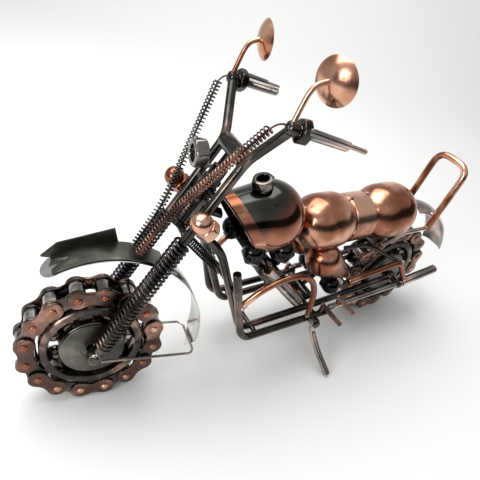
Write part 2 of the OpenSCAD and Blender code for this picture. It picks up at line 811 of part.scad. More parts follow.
case_c = [peg_x + 7, 13.5, 46];
module case_nuts() {
  color([0.24, 0.23, 0.23]) bike() both_sides() difference() {
    union() {
      translate(case_c) sphere(r = 6);
      translate(case_c - [0, 5, 0]) rotate([-90, 0, 0]) cylinder(h = 5, r = 13 / sqrt(3), $fn = 6);
      rod([case_c[0], 0.2, case_c[2]], case_c, 2);
      rod([peg_x + 7, 0.9, 46], [peg_x - 4, 0.9, rail_z + 10], 0.8);
    }
    bent_rod(frame_pts, tube_r + gap);
    rod(lower_c - [0, inner_half, 0], lower_c + [0, inner_half, 0], lower_r + fit);
  }
}

// pointed teardrop covers on each side of the case
cone_base = [129, 9, 76];
cone_tip = [166, 16.5, 51];
module cone_solid(w) {
  d = cone_tip - cone_base;
  along(cone_base, d) {
    translate([0, 0, 12]) sphere(r = 11.4 - w);
    translate([0, 0, 15]) cylinder(h = 28 - 2 * w, r1 = 11 - w, r2 = 1.2);
  }
}
module side_cones() {
  color([0.72, 0.48, 0.38]) bike() both_sides() difference() {
    cone_solid(0);
    cone_solid(1);
    translate([60, -33, 0]) cube([140, 33, 140]);
    seat_shell(seat_front_c, seat_front_r + fit, 0);
    bent_rod(stay_pts, stay_rod_r + fit);
    translate(case_c) sphere(r = 6.1);
    translate(case_c - [0, 5.1, 0]) rotate([-90, 0, 0]) cylinder(h = 6, r = 7.7);
    bent_rod(saddle_pts, saddle_r + fit);
  }
}

crash_pts = [
  [front_x - 10, cradle_half, 57], [front_x - 1, cradle_half + 2.4, 69],
  [front_x + 11, cradle_half + 3.4, 75], [front_x + 24, cradle_half + 3.4, 75],
  [front_x + 36, cradle_half + 2.8, 67], [front_x + 43, cradle_half + 1.4, 53],
  [front_x + 46, cradle_half + 0.4, rail_z + 4]
];
module crash_bars() {
  color([0.66, 0.46, 0.38]) bike() difference() {
    both_sides() bent_rod(crash_pts, crash_r);
    both_sides() bent_rod(cradle_pts, tube_r + fit);
  }
}

module foot_pegs() {
  color([0.45, 0.36, 0.33]) bike() difference() {
    both_sides() {
      rod([peg_x - 1, cradle_half - 1, 36.5], [peg_x + 8, cradle_half + 12, 27], 1.6);
      rod([peg_x + 11, cradle_half - 1, 40], [peg_x + 19, cradle_half + 10, 32], 1.6);
      rod([peg_x - 1, cradle_half, 36.5], [peg_x - 2, cradle_half, rail_z], 1.4);
      rod([peg_x + 11, cradle_half, 40], [peg_x + 12, cradle_half, 33.5], 1.4);
    }
    both_sides() bent_rod(cradle_pts, tube_r + fit);
    both_sides() rod(pipe_in, [wheelbase + 3, cradle_half, axle_z + 0.2], pipe_r + fit);
  }
}

// ---- kickstand, hinged on a short pin on the left cradle tube ----
stand_pin_r = 1.5;
stand_eye = 4.4;
stand_top = [peg_x - 9.5, -cradle_half - tube_r - stand_eye / 2 - 0.3, rail_z + 1.4];
stand_foot = [stand_top[0] + 4, -50, 0.6];
module kickstand() {
  knee = [stand_top[0] + 0.6, -36.4, 13];
  color([0.34, 0.33, 0.32]) bike() difference() {
    union() {
      bent_rod([stand_top - [0, 0, 2.6], stand_top - [0, 1, 7], knee, stand_foot], stand_r);
      translate(stand_top) across()
        translate([0, 0, -stand_eye / 2]) cylinder(h = stand_eye, r = 3.4);
    }
    translate(stand_top) across()
      translate([0, 0, -6]) cylinder(h = 12, r = stand_pin_r + run_gap);
    translate([-400, -400, -20]) cube([800, 800, 20]);
  }
}

// ---- spring from the fork's lower yoke to the front cross bar ----
spring_a = on_axis(yoke_s - 4, 0, -7);
spring_b = cross_c[0];
module steering_spring() {
  d = (spring_b - spring_a) / norm(spring_b - spring_a);
  color([0.30, 0.29, 0.29]) bike() rod(spring_a + d * 4, spring_b - d * 1.65, 2.9);
}

head_tube();
neck_brace();
frame_left();
frame_right();
cradle_left();
cradle_right();
cross_bars();
tank_shell();
tank_band();
filler_nut();
seat_front();
seat_ring();
seat_rear();
sissy_bar();
sissy_struts();
rear_fender();
engine_shafts();
dome_nuts();
kick_bolt();
case_nuts();
side_cones();
crash_bars();
foot_pegs();
exhaust_pipes();
silencers();
saddle_rods();
rear_stays();
rear_axle();
rear_inner_ring();
rear_hub_washers();
kickstand();
steering_spring();
fork_left();
fork_right();
fork_springs();
steering_stem();
bar_riser();
headlamp_nut();
turn_signals();
grip_nuts();
grip_bolts();
levers();
mirror_stems();
mirrors();
cable_springs();
mudguard();
mudguard_strip();
number_plate();
mudguard_stay();
front_axle();
front_inner_ring();
front_hub_washers();
front_chain_plates();
front_chain_rollers();
front_outer_ring();
front_balls();
rear_chain_plates();
rear_chain_rollers();
rear_outer_ring();
rear_balls();
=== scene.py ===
# %% [markdown]
# This script dresses a small welded motorcycle made of chain, bearings, springs, nuts and bolts. The packed
# solids are the fixed frame; every piece here is worked out with numpy in millimetres on the motorcycle and
# then moved into that frame. It starts with the few sizes that everything else is measured from.

# %% The frame and the driving sizes
import math

import bmesh
import bpy
import numpy as np
from mathutils import Matrix


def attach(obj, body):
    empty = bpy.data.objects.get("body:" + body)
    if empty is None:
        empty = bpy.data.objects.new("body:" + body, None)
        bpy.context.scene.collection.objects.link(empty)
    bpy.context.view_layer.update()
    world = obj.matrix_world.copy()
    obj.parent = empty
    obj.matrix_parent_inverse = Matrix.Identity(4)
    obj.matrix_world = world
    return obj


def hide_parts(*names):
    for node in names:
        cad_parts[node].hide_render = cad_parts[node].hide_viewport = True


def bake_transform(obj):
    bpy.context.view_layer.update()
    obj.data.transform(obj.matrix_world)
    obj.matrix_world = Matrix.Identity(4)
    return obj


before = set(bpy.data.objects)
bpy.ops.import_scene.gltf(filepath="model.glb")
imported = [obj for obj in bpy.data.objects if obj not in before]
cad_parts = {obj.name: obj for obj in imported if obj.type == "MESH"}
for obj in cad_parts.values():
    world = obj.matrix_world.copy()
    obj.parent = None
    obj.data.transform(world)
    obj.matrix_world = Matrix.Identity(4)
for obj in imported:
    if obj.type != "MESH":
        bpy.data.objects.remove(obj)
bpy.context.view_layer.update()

wheelbase, rake, steer_rest = 213.0, math.radians(31), math.radians(10)
chain_pitch, links = 12.7, 16
pitch_r = chain_pitch / (2 * math.sin(math.pi / links))
plate_r, plate_t, roller_len = 5.1, 1.5, 7.7
inner_y = roller_len / 2 + 0.1
outer_y = inner_y + plate_t + 0.1
rear_z = pitch_r * math.cos(math.pi / links) + plate_r
lean = math.asin(math.sin(steer_rest) * math.sin(rake))
front_z = rear_z * math.cos(lean) + (outer_y + plate_t) * math.sin(lean)
front_axle = np.array([0, 0, front_z])
rear_axle = np.array([wheelbase, 0, rear_z])
model_origin = np.array([(wheelbase + 24) / 2, -3.95, 0])
fork_half, cradle_half = 14.0, 21.0
rail_z, front_x, peg_x = 27.5, 0.405 * wheelbase, 0.68 * wheelbase
inner_half = fork_half - 0.8

# %% [markdown]
# Two places matter. Frame pieces are placed in millimetres from the point under the front axle. Fork pieces
# are worked out with the fork straight ahead, then turned about the steering axis, which leans by the rake.

# %% Places on the frame and on the turned fork
def bike(points):
    """Millimetres on the straight motorcycle to metres in the frame: subtract the origin, divide by 1000."""
    return (np.asarray(points, float) - model_origin) / 1000


def turned(points):
    """The same for the fork: turned by -steer_rest about the leaning axis: p cos + (axis x p) sin + along."""
    axis = np.array([math.sin(rake), 0, math.cos(rake)])
    p = np.asarray(points, float) - front_axle
    c, s = math.cos(-steer_rest), math.sin(-steer_rest)
    along = (p @ axis)[..., None] * axis
    return bike(p * c + np.cross(axis, p) * s + along * (1 - c) + front_axle)


def on_axis(s, y=0.0, f=0.0):
    """The point s up the steering axis, y across and f in front of it."""
    return np.array([s * math.sin(rake) - f * math.cos(rake), y,
                     front_z + s * math.cos(rake) + f * math.sin(rake)])


def other_side(points):
    """The mirror of a list of points in the motorcycle's middle plane."""
    return np.asarray(points, float) * [1, -1, 1]


print("steering axis meets the ground at", on_axis(-front_z / math.cos(rake)).round(1))

# %% [markdown]
# A surface is a grid of points. One function turns a grid into faces and closes it round either way. Most of
# the metalwork is four such grids: a turned profile, a rod along a path, a coil along a path, and a slab.

# %% Grids, and the pieces made of them
def patch(grid, wrap_rows=False, wrap_cols=False):
    """Faces between neighbours of a rows x cols grid of points: corner k of a face is row + {0,0,1,1}[k]."""
    rows, cols = grid.shape[:2]
    r = np.arange(rows if wrap_rows else rows - 1)[:, None]
    c = np.arange(cols if wrap_cols else cols - 1)[None, :]
    r2, c2 = (r + 1) % rows, (c + 1) % cols
    faces = np.stack([r * cols + c, r * cols + c2, r2 * cols + c2, r2 * cols + c], -1)
    return grid.reshape(-1, 3), faces.reshape(-1, 4)


def joined(parts):
    """Several (points, faces) as one, with each part's face numbers moved past the points before it."""
    starts = np.cumsum([0] + [len(p) for p, _ in parts[:-1]])
    return np.vstack([p for p, _ in parts]), np.vstack([f + s for (_, f), s in zip(parts, starts)])


def unit(v):
    return np.asarray(v, float) / np.linalg.norm(v, axis=-1, keepdims=True)


def stand_on(point, direction, parts):
    """Turns parts made about +Z so that +Z lies along a direction, and moves them to a point."""
    z = unit(direction)
    x = unit(np.cross([0, 1, 0] if abs(z[1]) < 0.9 else [0, 0, 1], z))
    turn = np.stack([x, np.cross(z, x), z])
    return [(p @ turn + np.asarray(point, float), f) for p, f in parts]


def lathe(profile, sides=64):
    """A profile of (radius, height) turned about +Z: (r cos a, r sin a, h) for a round the circle."""
    profile = np.asarray(profile, float)
    a = np.linspace(0, 2 * np.pi, sides, endpoint=False)
    r, h = profile[:, :1], profile[:, 1:]
    return patch(np.stack([r * np.cos(a), r * np.sin(a), h + 0 * a], -1), wrap_cols=True)


def round_corners(points, bend=4.0, steps=7):
    """Each inside corner B becomes the curve (1-t)^2 A + 2t(1-t) B + t^2 C, with A and C on its arms."""
    points = np.asarray(points, float)
    path = [points[:1]]
    t = np.linspace(0, 1, steps)[:, None]
    for before, corner, after in zip(points[:-2], points[1:-1], points[2:]):
        reach = min(bend, 0.45 * np.linalg.norm(before - corner), 0.45 * np.linalg.norm(after - corner))
        a, c = corner + reach * unit(before - corner), corner + reach * unit(after - corner)
        path.append((1 - t) ** 2 * a + 2 * t * (1 - t) * corner + t ** 2 * c)
    return np.vstack(path + [points[-1:]])


def side_axes(path):
    """A path's tangents and two directions square to them, from the axis that is least along the path."""
    tangent = unit(np.gradient(path, axis=0))
    candidates = np.array([[1, 0, 0], [0, 1, 0], [0, 0, 1], unit([1, 1, 1]), unit([-1, 1, 1])])
    fixed = candidates[np.abs(tangent @ candidates.T).max(0).argmin()]
    u = unit(np.cross(tangent, fixed))
    return tangent, u, np.cross(tangent, u)


def rod(points, radius, bend=4.0, sides=20, edge=0.25):
    """A round rod: circles of one radius carried along the rounded path, with a small bevel at each end."""
    path = round_corners(points, bend)
    tangent, u, v = side_axes(path)
    edge = min(edge, radius * 0.4)
    first, last = path[:1], path[-1:]
    path = np.vstack([first, first, first + tangent[:1] * edge, path[1:-1],
                      last - tangent[-1:] * edge, last, last])
    pad = [0, 0, 0] + list(range(1, len(u) - 1)) + [len(u) - 1] * 3
    r = np.full(len(path), radius)
    r[[0, -1]], r[[1, -2]] = 0, radius - edge
    a = np.linspace(0, 2 * np.pi, sides, endpoint=False)[None, :, None]
    circle = np.cos(a) * u[pad][:, None] + np.sin(a) * v[pad][:, None]
    return patch(path[:, None] + r[:, None, None] * circle, wrap_cols=True)


def coil(points, outer, wire, pitch, bend=20.0, per_turn=20, sides=8):
    """A spring: the path P(s) + R (cos w u + sin w v), where w grows by a full turn each pitch."""
    line = round_corners(points, bend, 12)
    gaps = np.concatenate([[0], np.cumsum(np.linalg.norm(np.diff(line, axis=0), axis=1))])
    turns = gaps[-1] / pitch
    s = np.linspace(0, gaps[-1], int(turns * per_turn))
    centre = np.stack([np.interp(s, gaps, line[:, k]) for k in range(3)], -1)
    _, u, v = side_axes(centre)
    w = (2 * np.pi * s / pitch)[:, None]
    path = centre + (outer - wire) * (np.cos(w) * u + np.sin(w) * v)
    t = unit(np.gradient(path, axis=0))
    out = unit(path - centre)
    side = unit(np.cross(t, out))
    a = np.linspace(0, 2 * np.pi, sides, endpoint=False)[None, :, None]
    r = np.full(len(path), wire)
    r[[0, -1]] = 0
    ring = np.cos(a) * np.cross(side, t)[:, None] + np.sin(a) * side[:, None]
    return patch(path[:, None] + r[:, None, None] * ring, wrap_cols=True)


def slab(top, bottom):
    """A sheet with thickness: two grids of one shape, back to back, and a strip round their four edges."""
    def rim(g):
        return np.concatenate([g[0, :-1], g[:-1, -1], g[-1, :0:-1], g[:0:-1, 0]])
    edge = patch(np.stack([rim(top), rim(bottom)]), wrap_cols=True)
    return joined([patch(top), patch(bottom[:, ::-1]), edge])


def put(name, data):
    """An object for a mesh, light or camera, linked to the scene."""
    made = bpy.data.objects.new(name, data)
    bpy.context.scene.collection.objects.link(made)
    return made


def piece(name, body, parts, place, material, replaces=(), merge=2e-6, sharp=38):
    """Makes the mesh in metres, merges doubles, points faces outwards, and hides the model parts it stands in
    for.
    """
    points, faces = joined(parts)
    mesh = bpy.data.meshes.new(name)
    mesh.from_pydata(place(points), [], faces.tolist())
    bm = bmesh.new()
    bm.from_mesh(mesh)
    bmesh.ops.remove_doubles(bm, verts=bm.verts, dist=merge)
    bmesh.ops.dissolve_degenerate(bm, dist=merge / 2, edges=bm.edges)
    bmesh.ops.recalc_face_normals(bm, faces=bm.faces)
    bm.to_mesh(mesh)
    bm.free()
    mesh.shade_smooth()
    mesh.set_sharp_from_angle(angle=math.radians(sharp))
    mesh.materials.append(material)
    made = put(name, mesh)
    if body:
        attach(made, body)
    if replaces:
        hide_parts(*replaces)
    print(f"{name}: {len(mesh.polygons)} faces")
    return made


def on_frame(name, parts, material, *nodes, **more):
    return piece(name, "frame", parts, bike, material, nodes, **more)


def on_fork(name, parts, material, *nodes):
    return piece(name, "fork", parts, turned, material, nodes)


print("grid of 3 x 4 points has", len(patch(np.zeros((3, 4, 3)))[1]), "faces")

# %% [markdown]
# The finishes. The whole model is plated in dark nickel and antique copper and then rubbed, so bright metal
# shows through on some stretches and brown gathers on others. A finish is a mix of three colours driven by
# clouds at two sizes, with fine scratches in the roughness and the bump.

# %% A wire that does arithmetic
class Wire:
    """One output of a node tree. Adding or multiplying wires adds Math nodes; make() adds any other node."""

    def __init__(self, tree, socket=None):
        self.tree, self.socket = tree, socket

    def make(self, kind, settings, inputs, out=0):
        node = self.tree.nodes.new(kind)
        for key, value in settings.items():
            setattr(node, key, value)
        for key, value in inputs.items():
            if isinstance(value, Wire):
                self.tree.links.new(value.socket, node.inputs[key])
            else:
                node.inputs[key].default_value = value
        return Wire(self.tree, node.outputs[out])

    def math(self, operation, a, b):
        return self.make("ShaderNodeMath", {"operation": operation}, {0: a, 1: b})

    def __add__(self, other):
        return self.math("ADD", self, other)

    def __mul__(self, other):
        return self.math("MULTIPLY", self, other)

    def __sub__(self, other):
        return self.math("SUBTRACT", self, other)

    def __rsub__(self, other):
        return self.math("SUBTRACT", other, self)

    __radd__, __rmul__ = __add__, __mul__

    def between(self, low, high):
        """0 below low, 1 above high, smooth between."""
        return self.make("ShaderNodeMapRange", {"interpolation_type": "SMOOTHSTEP"},
                         {"Value": self, "From Min": low, "From Max": high})

    def place(self):
        """Object coordinates, in metres."""
        return self.make("ShaderNodeTexCoord", {}, {}, out=3)

    def cloud(self, scale, detail=3.0, rough=0.55):
        """Noise of about 0.3 to 0.7 over Object coordinates."""
        return self.make("ShaderNodeTexNoise", {},
                         {"Vector": self.place(), "Scale": scale, "Detail": detail, "Roughness": rough})

    def mix(self, factor, a, b):
        """Colour a where factor is 0, b where it is 1."""
        return self.make("ShaderNodeMix", {"data_type": "RGBA"}, {"Factor": factor, 6: a, 7: b}, out=2)


def plated(name, slot, dark, mid, rubbed, rough, rubbed_share=0.5, fleck=70, scratch=0.15, second=None):
    """A rubbed plating: dark to mid by a wide cloud, rubbed colour where a finer cloud passes its share.
    second is (dark, mid, rubbed, point, direction, half width): a plating that fades in past a plane."""
    material = bpy.data.materials.new(name)
    material.use_nodes = True
    material["slot"] = slot
    tree = material.node_tree
    shader = tree.nodes["Principled BSDF"]
    w = Wire(tree)
    wide, fine = w.cloud(fleck, 3), w.cloud(fleck * 3.1, 5)
    worn = (wide * 0.65 + fine * 0.35).between(0.62 - 0.25 * rubbed_share, 0.72 - 0.25 * rubbed_share)
    scratches = w.cloud(900, 2, 0.7)
    tone = w.mix(wide.between(0.4, 0.62), (*dark, 1), (*mid, 1))
    tone = w.mix(worn, tone, (*rubbed, 1))
    if second:
        dark2, mid2, rubbed2, point, direction, half = second
        away = w.make("ShaderNodeVectorMath", {"operation": "SUBTRACT"}, {0: w.place(), 1: point})
        past = w.make("ShaderNodeVectorMath", {"operation": "DOT_PRODUCT"}, {0: away, 1: direction}, out=1)
        past = (past + (wide - 0.5) * half).between(-half, half)
        tone2 = w.mix(wide.between(0.4, 0.62), (*dark2, 1), (*mid2, 1))
        tone = w.mix(past, tone, w.mix(worn, tone2, (*rubbed2, 1)))
    soot = w.cloud(fleck * 7, 4).between(0.62, 0.75) * 0.45
    tone = w.mix(soot, tone, tuple(0.35 * c for c in dark) + (1,))
    tree.links.new(tone.socket, shader.inputs["Base Color"])
    shader.inputs["Metallic"].default_value = 1
    uneven = rough + (fine - 0.5) * 0.22 + (scratches - 0.5) * scratch + soot * 0.3
    tree.links.new(uneven.math("MAXIMUM", uneven, 0.06).socket, shader.inputs["Roughness"])
    height = scratches * 0.5 + w.cloud(2600, 2) * 0.5
    bump = w.make("ShaderNodeBump", {}, {"Height": height, "Strength": 0.10, "Distance": 0.00012})
    tree.links.new(bump.socket, shader.inputs["Normal"])
    return material


# %% The finishes of this model
nickel = plated("black_nickel", "black_nickel", (0.055, 0.052, 0.048), (0.115, 0.105, 0.098),
                (0.23, 0.165, 0.135), 0.20, 0.40, 45)
nickel_dark = plated("dark_nickel", "black_nickel", (0.025, 0.024, 0.024), (0.07, 0.066, 0.064),
                     (0.22, 0.16, 0.13), 0.22, 0.25)
# The same black nickel painted lighter all over: a painted highlight for the exhausts, kickstand, bolts, stays
# and other parts that shine most.
nickel_painted_highlight = plated("black_nickel_painted_highlight", "black_nickel", (0.22, 0.20, 0.19), (0.46, 0.425, 0.40),
                       (0.70, 0.52, 0.43), 0.18, 0.45, 45)
copper = plated("antique_copper", "antique_copper", (0.25, 0.090, 0.050), (0.51, 0.225, 0.138),
                (0.76, 0.45, 0.315), 0.22, 0.55, 22)
copper_dark = plated("browned_copper", "antique_copper", (0.10, 0.060, 0.048), (0.21, 0.125, 0.098),
                     (0.40, 0.225, 0.165), 0.26, 0.45, 45)
bronze = plated("dark_bronze", "dark_bronze", (0.045, 0.045, 0.038), (0.12, 0.115, 0.10),
                (0.30, 0.25, 0.21), 0.18, 0.3, 25)
# The tank is copper below and behind a slanted plane and dark bronze above and in front of it; the dark top
# and front are a painted reflection of the dark surround.
tank_copper = ((0.20, 0.075, 0.045), (0.43, 0.185, 0.115), (0.66, 0.36, 0.25),
               bike([90, 0, 110]), unit([0.62, -0.12, -0.78]), 0.006)
tank_painted_reflection_finish = plated("tank_plating_painted_reflection", "dark_bronze", (0.045, 0.046, 0.040), (0.12, 0.12, 0.105),
                     (0.24, 0.225, 0.195), 0.15, 0.3, 22, 0.1, tank_copper)
black_glossy = plated("black_mirror", "black_mirror", (0.010, 0.010, 0.011), (0.028, 0.028, 0.03),
                      (0.10, 0.08, 0.07), 0.10, 0.2)
sheet_bright = plated("polished_sheet", "polished_sheet", (0.42, 0.42, 0.41), (0.66, 0.66, 0.65),
                      (0.74, 0.72, 0.70), 0.16, 0.4, 40)
sheet_dark = plated("dark_sheet", "dark_sheet", (0.075, 0.074, 0.063), (0.135, 0.132, 0.114),
                    (0.22, 0.21, 0.185), 0.36, 0.35, 40)
steel = plated("bearing_steel", "bearing_steel", (0.055, 0.048, 0.044), (0.15, 0.115, 0.10),
               (0.33, 0.21, 0.165), 0.22, 0.45)
roller_steel = plated("roller_steel", "bearing_steel", (0.13, 0.12, 0.115), (0.42, 0.40, 0.39),
                      (0.62, 0.58, 0.56), 0.14, 0.5)
print("finishes:", [m.name for m in bpy.data.materials])

# %% [markdown]
# Each tyre is sixteen links of half-inch roller chain. An outer and an inner pair of waisted plates take
# turns round the wheel; between them a roller turns on a pin whose ends are riveted over.

# %% One link plate
def link_plate(half_waist=3.5, arc_steps=12, waist_steps=6):
    """Two round ends joined by a waist that dips by (1-s)^1.7, shrunk in rings to the line between its
    pins, with a bevelled edge. x runs along the chain, y across it, z through the sheet."""
    reach, stop = chain_pitch / 2, math.radians(118)
    a = np.linspace(0, stop, arc_steps)
    s = np.linspace(0, 1, waist_steps)[1:]
    x0, y0 = reach + plate_r * math.cos(stop), plate_r * math.sin(stop)
    quarter = np.concatenate([np.stack([reach + plate_r * np.cos(a), plate_r * np.sin(a)], -1),
                              np.stack([x0 * (1 - s), half_waist + (y0 - half_waist) * (1 - s) ** 1.7], -1)])
    half = np.concatenate([quarter, quarter[-2::-1] * [-1, 1]])
    ring = np.concatenate([half, half[-2:0:-1] * [1, -1]])
    spine = np.stack([np.clip(ring[:, 0], -reach, reach), 0 * ring[:, 0]], -1)
    levels = [(1, 0), (0.10, 0), (0.03, 0.10), (0, 0.32), (0, plate_t - 0.32), (0.03, plate_t - 0.10),
              (0.10, plate_t), (1, plate_t)]
    rows = [np.column_stack([ring * (1 - k) + spine * k, np.full(len(ring), z)]) for k, z in levels]
    return patch(np.stack(rows), wrap_cols=True)


def round_wheel(parts, angle, radius):
    """Parts with x along the chain, y outwards and z across the wheel, set at an angle round the axle."""
    out = np.array([math.cos(angle), 0, math.sin(angle)])
    along = np.array([-math.sin(angle), 0, math.cos(angle)])
    turn = np.stack([along, out, [0, 1, 0]])
    return [(p @ turn + out * radius, f) for p, f in parts]


step = 2 * math.pi / links
chord = pitch_r * math.cos(step / 2)
one_plate = link_plate()
plates, outer_plates = [], []
for i in range(links):
    y = outer_y if i % 2 == 0 else inner_y
    into = outer_plates if i % 2 == 0 else plates
    for side in (y, -y - plate_t):
        into += round_wheel([(one_plate[0] + [0, 0, side], one_plate[1])], math.pi / 2 + i * step, chord)
print("plates in a tyre:", len(plates) + len(outer_plates))

# %% Rollers, and pins with riveted heads
pin_half, pin_r, roller_r = outer_y + plate_t + 1.0, 2.0, 4.2
bush_r = 2.9
half_roller = roller_len / 2
roller_profile = [(bush_r, -half_roller), (roller_r - 0.35, -half_roller), (roller_r, -half_roller + 0.4),
                  (roller_r, half_roller - 0.4), (roller_r - 0.35, half_roller), (bush_r, half_roller)]
head = [(0, 0.0), (0.9, -0.06), (1.45, -0.25), (1.62, -0.55), (pin_r - 0.05, -0.75), (pin_r, -1.0)]
pin_profile = [(r, pin_half + h) for r, h in head] + [(r, -pin_half - h) for r, h in reversed(head)]
rollers, pins = [], []
for i in range(links):
    angle = math.pi / 2 - step / 2 + i * step
    rollers += round_wheel([lathe(roller_profile + [roller_profile[0]], 32)], angle, pitch_r)
    pins += round_wheel([lathe(pin_profile, 20)], angle, pitch_r)
print("rollers:", len(rollers), "pins:", len(pins))

# %% [markdown]
# The hub is a deep-groove ball bearing: an outer ring that the chain is welded to, an inner ring on the axle,
# and nine balls in the grooves between. The rings are turned, so a profile with its chamfers is enough.

# %% The bearing's rings and balls
bearing_r, bore_r, half_w, ball_r, balls = 26.0, 12.5, 7.0, 3.97, 9
ball_path = (bearing_r + bore_r) / 2
race_r, ring_gap = ball_r + 0.05, ball_r * 0.66


def ring_profile(face_r, groove_side, chamfer=0.7):
    """A ring's section from its flat wall at face_r to its grooved wall; the groove is an arc of race_r."""
    wall = ball_path + groove_side * ring_gap
    t = np.linspace(-1, 1, 13) * math.acos(ring_gap / race_r)
    arc = [(ball_path + groove_side * race_r * math.cos(a), race_r * math.sin(a)) for a in t]
    c = chamfer * math.copysign(1, wall - face_r)
    end = [(wall, half_w - 0.35), (wall - c * 0.5, half_w), (face_r + c, half_w), (face_r, half_w - chamfer)]
    start = [(r, -h) for r, h in reversed(end)]
    return start + arc + end + start[:1]


def across(parts):
    """Parts made about +Z laid with +Z along the axle."""
    return [(p[:, [0, 2, 1]] * [1, 1, -1], f) for p, f in parts]


outer_ring = across([lathe(ring_profile(bearing_r, 1), 96)])
inner_ring = across([lathe(ring_profile(bore_r, -1), 96)])
t = np.linspace(-np.pi / 2, np.pi / 2, 15)
one_ball = lathe(np.stack([ball_r * np.cos(t), ball_r * np.sin(t)], -1), 24)
ball_set = []
for i in range(balls):
    a = -i * 2 * math.pi / balls
    ball_set.append((one_ball[0] + [ball_path * math.cos(a), 0, ball_path * math.sin(a)], one_ball[1]))
print("race radius", round(race_r, 2), "balls", len(ball_set))

# %% The washers that close the hub, and the axles
washer_y, washer_t, washer_r, axle_r = half_w + 0.1, 1.0, 16.2, 2.0
washer_top, spigot, axle_bore = washer_y + washer_t, washer_y - 3.4, 2.05
washer = [(axle_bore, spigot), (bore_r - 0.05, spigot), (bore_r - 0.05, washer_y), (washer_r - 0.3, washer_y),
          (washer_r, washer_y + 0.25), (washer_r, washer_y + 0.75), (washer_r - 0.25, washer_top),
          (6.2, washer_top), (5.9, washer_top - 0.25), (3.4, washer_top - 0.3), (3.1, washer_top - 0.6),
          (3.1, washer_y - 2.6), (axle_bore, washer_y - 2.6), (axle_bore, spigot)]
washers = across([lathe(washer, 72), lathe([(r, -h) for r, h in washer], 72)])
print("washer from", round(spigot, 2), "to", washer_top, "from the wheel's middle")


def axle(half):
    return across([lathe([(0, half), (axle_r - 0.4, half), (axle_r, half - 0.4), (axle_r, 0.4 - half),
                          (axle_r - 0.4, -half), (0, -half)], 28)])


# %% Both wheels
def at_front(points):
    return turned(points + front_axle)


def at_rear(points):
    return bike(points + rear_axle)


for end, place, spun, hung, half in (("front", at_front, "front_ball_set", "fork", fork_half + 3.2),
                                     ("rear", at_rear, "rear_ball_set", "frame", cradle_half + 3)):
    wheel = end + "_wheel"
    piece(end + "_tyre_outer_plates", wheel, outer_plates, place, copper_dark, [end + "_chain_plates"])
    piece(end + "_tyre_inner_plates", wheel, plates, place, nickel)
    piece(end + "_tyre_rollers", wheel, rollers, place, roller_steel, [end + "_chain_rollers"])
    piece(end + "_tyre_pins", wheel, pins, place, copper)
    piece(end + "_bearing_outer", wheel, outer_ring, place, steel, [end + "_outer_ring"])
    piece(end + "_bearing_balls", spun, ball_set, place, roller_steel, [end + "_balls"])
    piece(end + "_bearing_inner", hung, inner_ring, place, nickel, [end + "_inner_ring"])
    piece(end + "_hub_discs", hung, washers, place, sheet_dark, [end + "_hub_washers"])
    piece(end + "_spindle", hung, axle(half), place, nickel, [end + "_axle"])

# %% [markdown]
# The fork is two bent rods. Each starts as an eye on the axle, runs up inside its spring along the steering
# axis, and bends outwards and back to become the handlebar.

# %% Fork rods and the springs on them
leg_r, bar_bend = 2.4, 126.0
bar_top = on_axis(bar_bend, fork_half) + [7.5, 19.5, 22.5]
bar_dir = unit([0.97, 0.08, -0.23])
eye = across([lathe([(axle_bore, -2.4), (3.7, -2.4), (4, -2.0), (4, 2.0), (3.7, 2.4), (axle_bore, 2.4),
                     (axle_bore, -2.4)], 40)])
leg = [rod([on_axis(3.6, fork_half), on_axis(bar_bend, fork_half), bar_top], leg_r, 5, 24),
       *[(p + on_axis(0, fork_half), f) for p, f in eye],
       *stand_on(bar_top - bar_dir * 2.4, bar_dir,
                 [lathe([(1.6, 0), (2.5, 0), (2.9, 0.4), (2.9, 4.4), (2.5, 4.8), (1.6, 4.8), (1.6, 0)], 32)])]


def mirrored(parts):
    """Parts mirrored in the middle plane, with each face's corners in the opposite order."""
    return [(other_side(p), f[:, ::-1]) for p, f in parts]


def both(parts):
    return parts + mirrored(parts)


on_fork("fork_rod_right", leg, nickel, "fork_right")
on_fork("fork_rod_left", mirrored(leg), nickel, "fork_left")
spring = coil([on_axis(6.6, fork_half), on_axis(77.7, fork_half)], 4.7, 0.72, 2.42, sides=10, per_turn=24)
on_fork("fork_coils", both([spring]), nickel_dark, "fork_springs")

# %% [markdown]
# The cables are long thin springs with a wire inside. They leave a hook on the bars and run down past the
# headlamp to the mudguard.

# %% Cable springs and the steering spring
cable = [on_axis(58, 4.2, 10), on_axis(84, 5.4, 10), bar_top + [-8.5, -2.6, -1]]
cable_coil = coil(cable, 2.3, 0.38, 1.9, bend=16, per_turn=18, sides=6)
cable_wire = rod(cable, 0.55, 16, 10)
hook = rod([cable[-1], cable[-1] + [2.5, 0.6, 2.0], bar_top + [-3.2, -1.4, 1.4],
            bar_top + [-2.6, -0.6, 0.2]], 0.45, 1.2, 10)
cable_parts = [cable_coil, cable_wire, hook]
on_fork("cable_spring_right", cable_parts, nickel_dark, "cable_springs")
on_fork("cable_spring_left", mirrored(cable_parts), copper_dark)
yoke_s = 79.5
spring_a, spring_b = on_axis(yoke_s - 4, 0, -7), np.array([73.0, 0, 66])
d = unit(spring_b - spring_a)
steer_coil = [coil([spring_a + d * 1.2, spring_b - d * 2.6], 2.9, 0.45, 1.9, sides=8),
              rod([spring_a + d * 0.2, spring_a + d * 3], 0.5),
              rod([spring_b - d * 4.4, spring_b - d * 1.7], 0.5)]
steer_piece = piece("steering_coil", None, steer_coil, bike, nickel_dark, ["steering_spring"])
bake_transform(steer_piece)

# %% [markdown]
# Nuts and bolts are the heart of this model. A hexagon's corners are cut back by a cone, so a nut's outline
# at each height is the smaller of the two. A thread is a cylinder whose radius rises and falls on a helix.

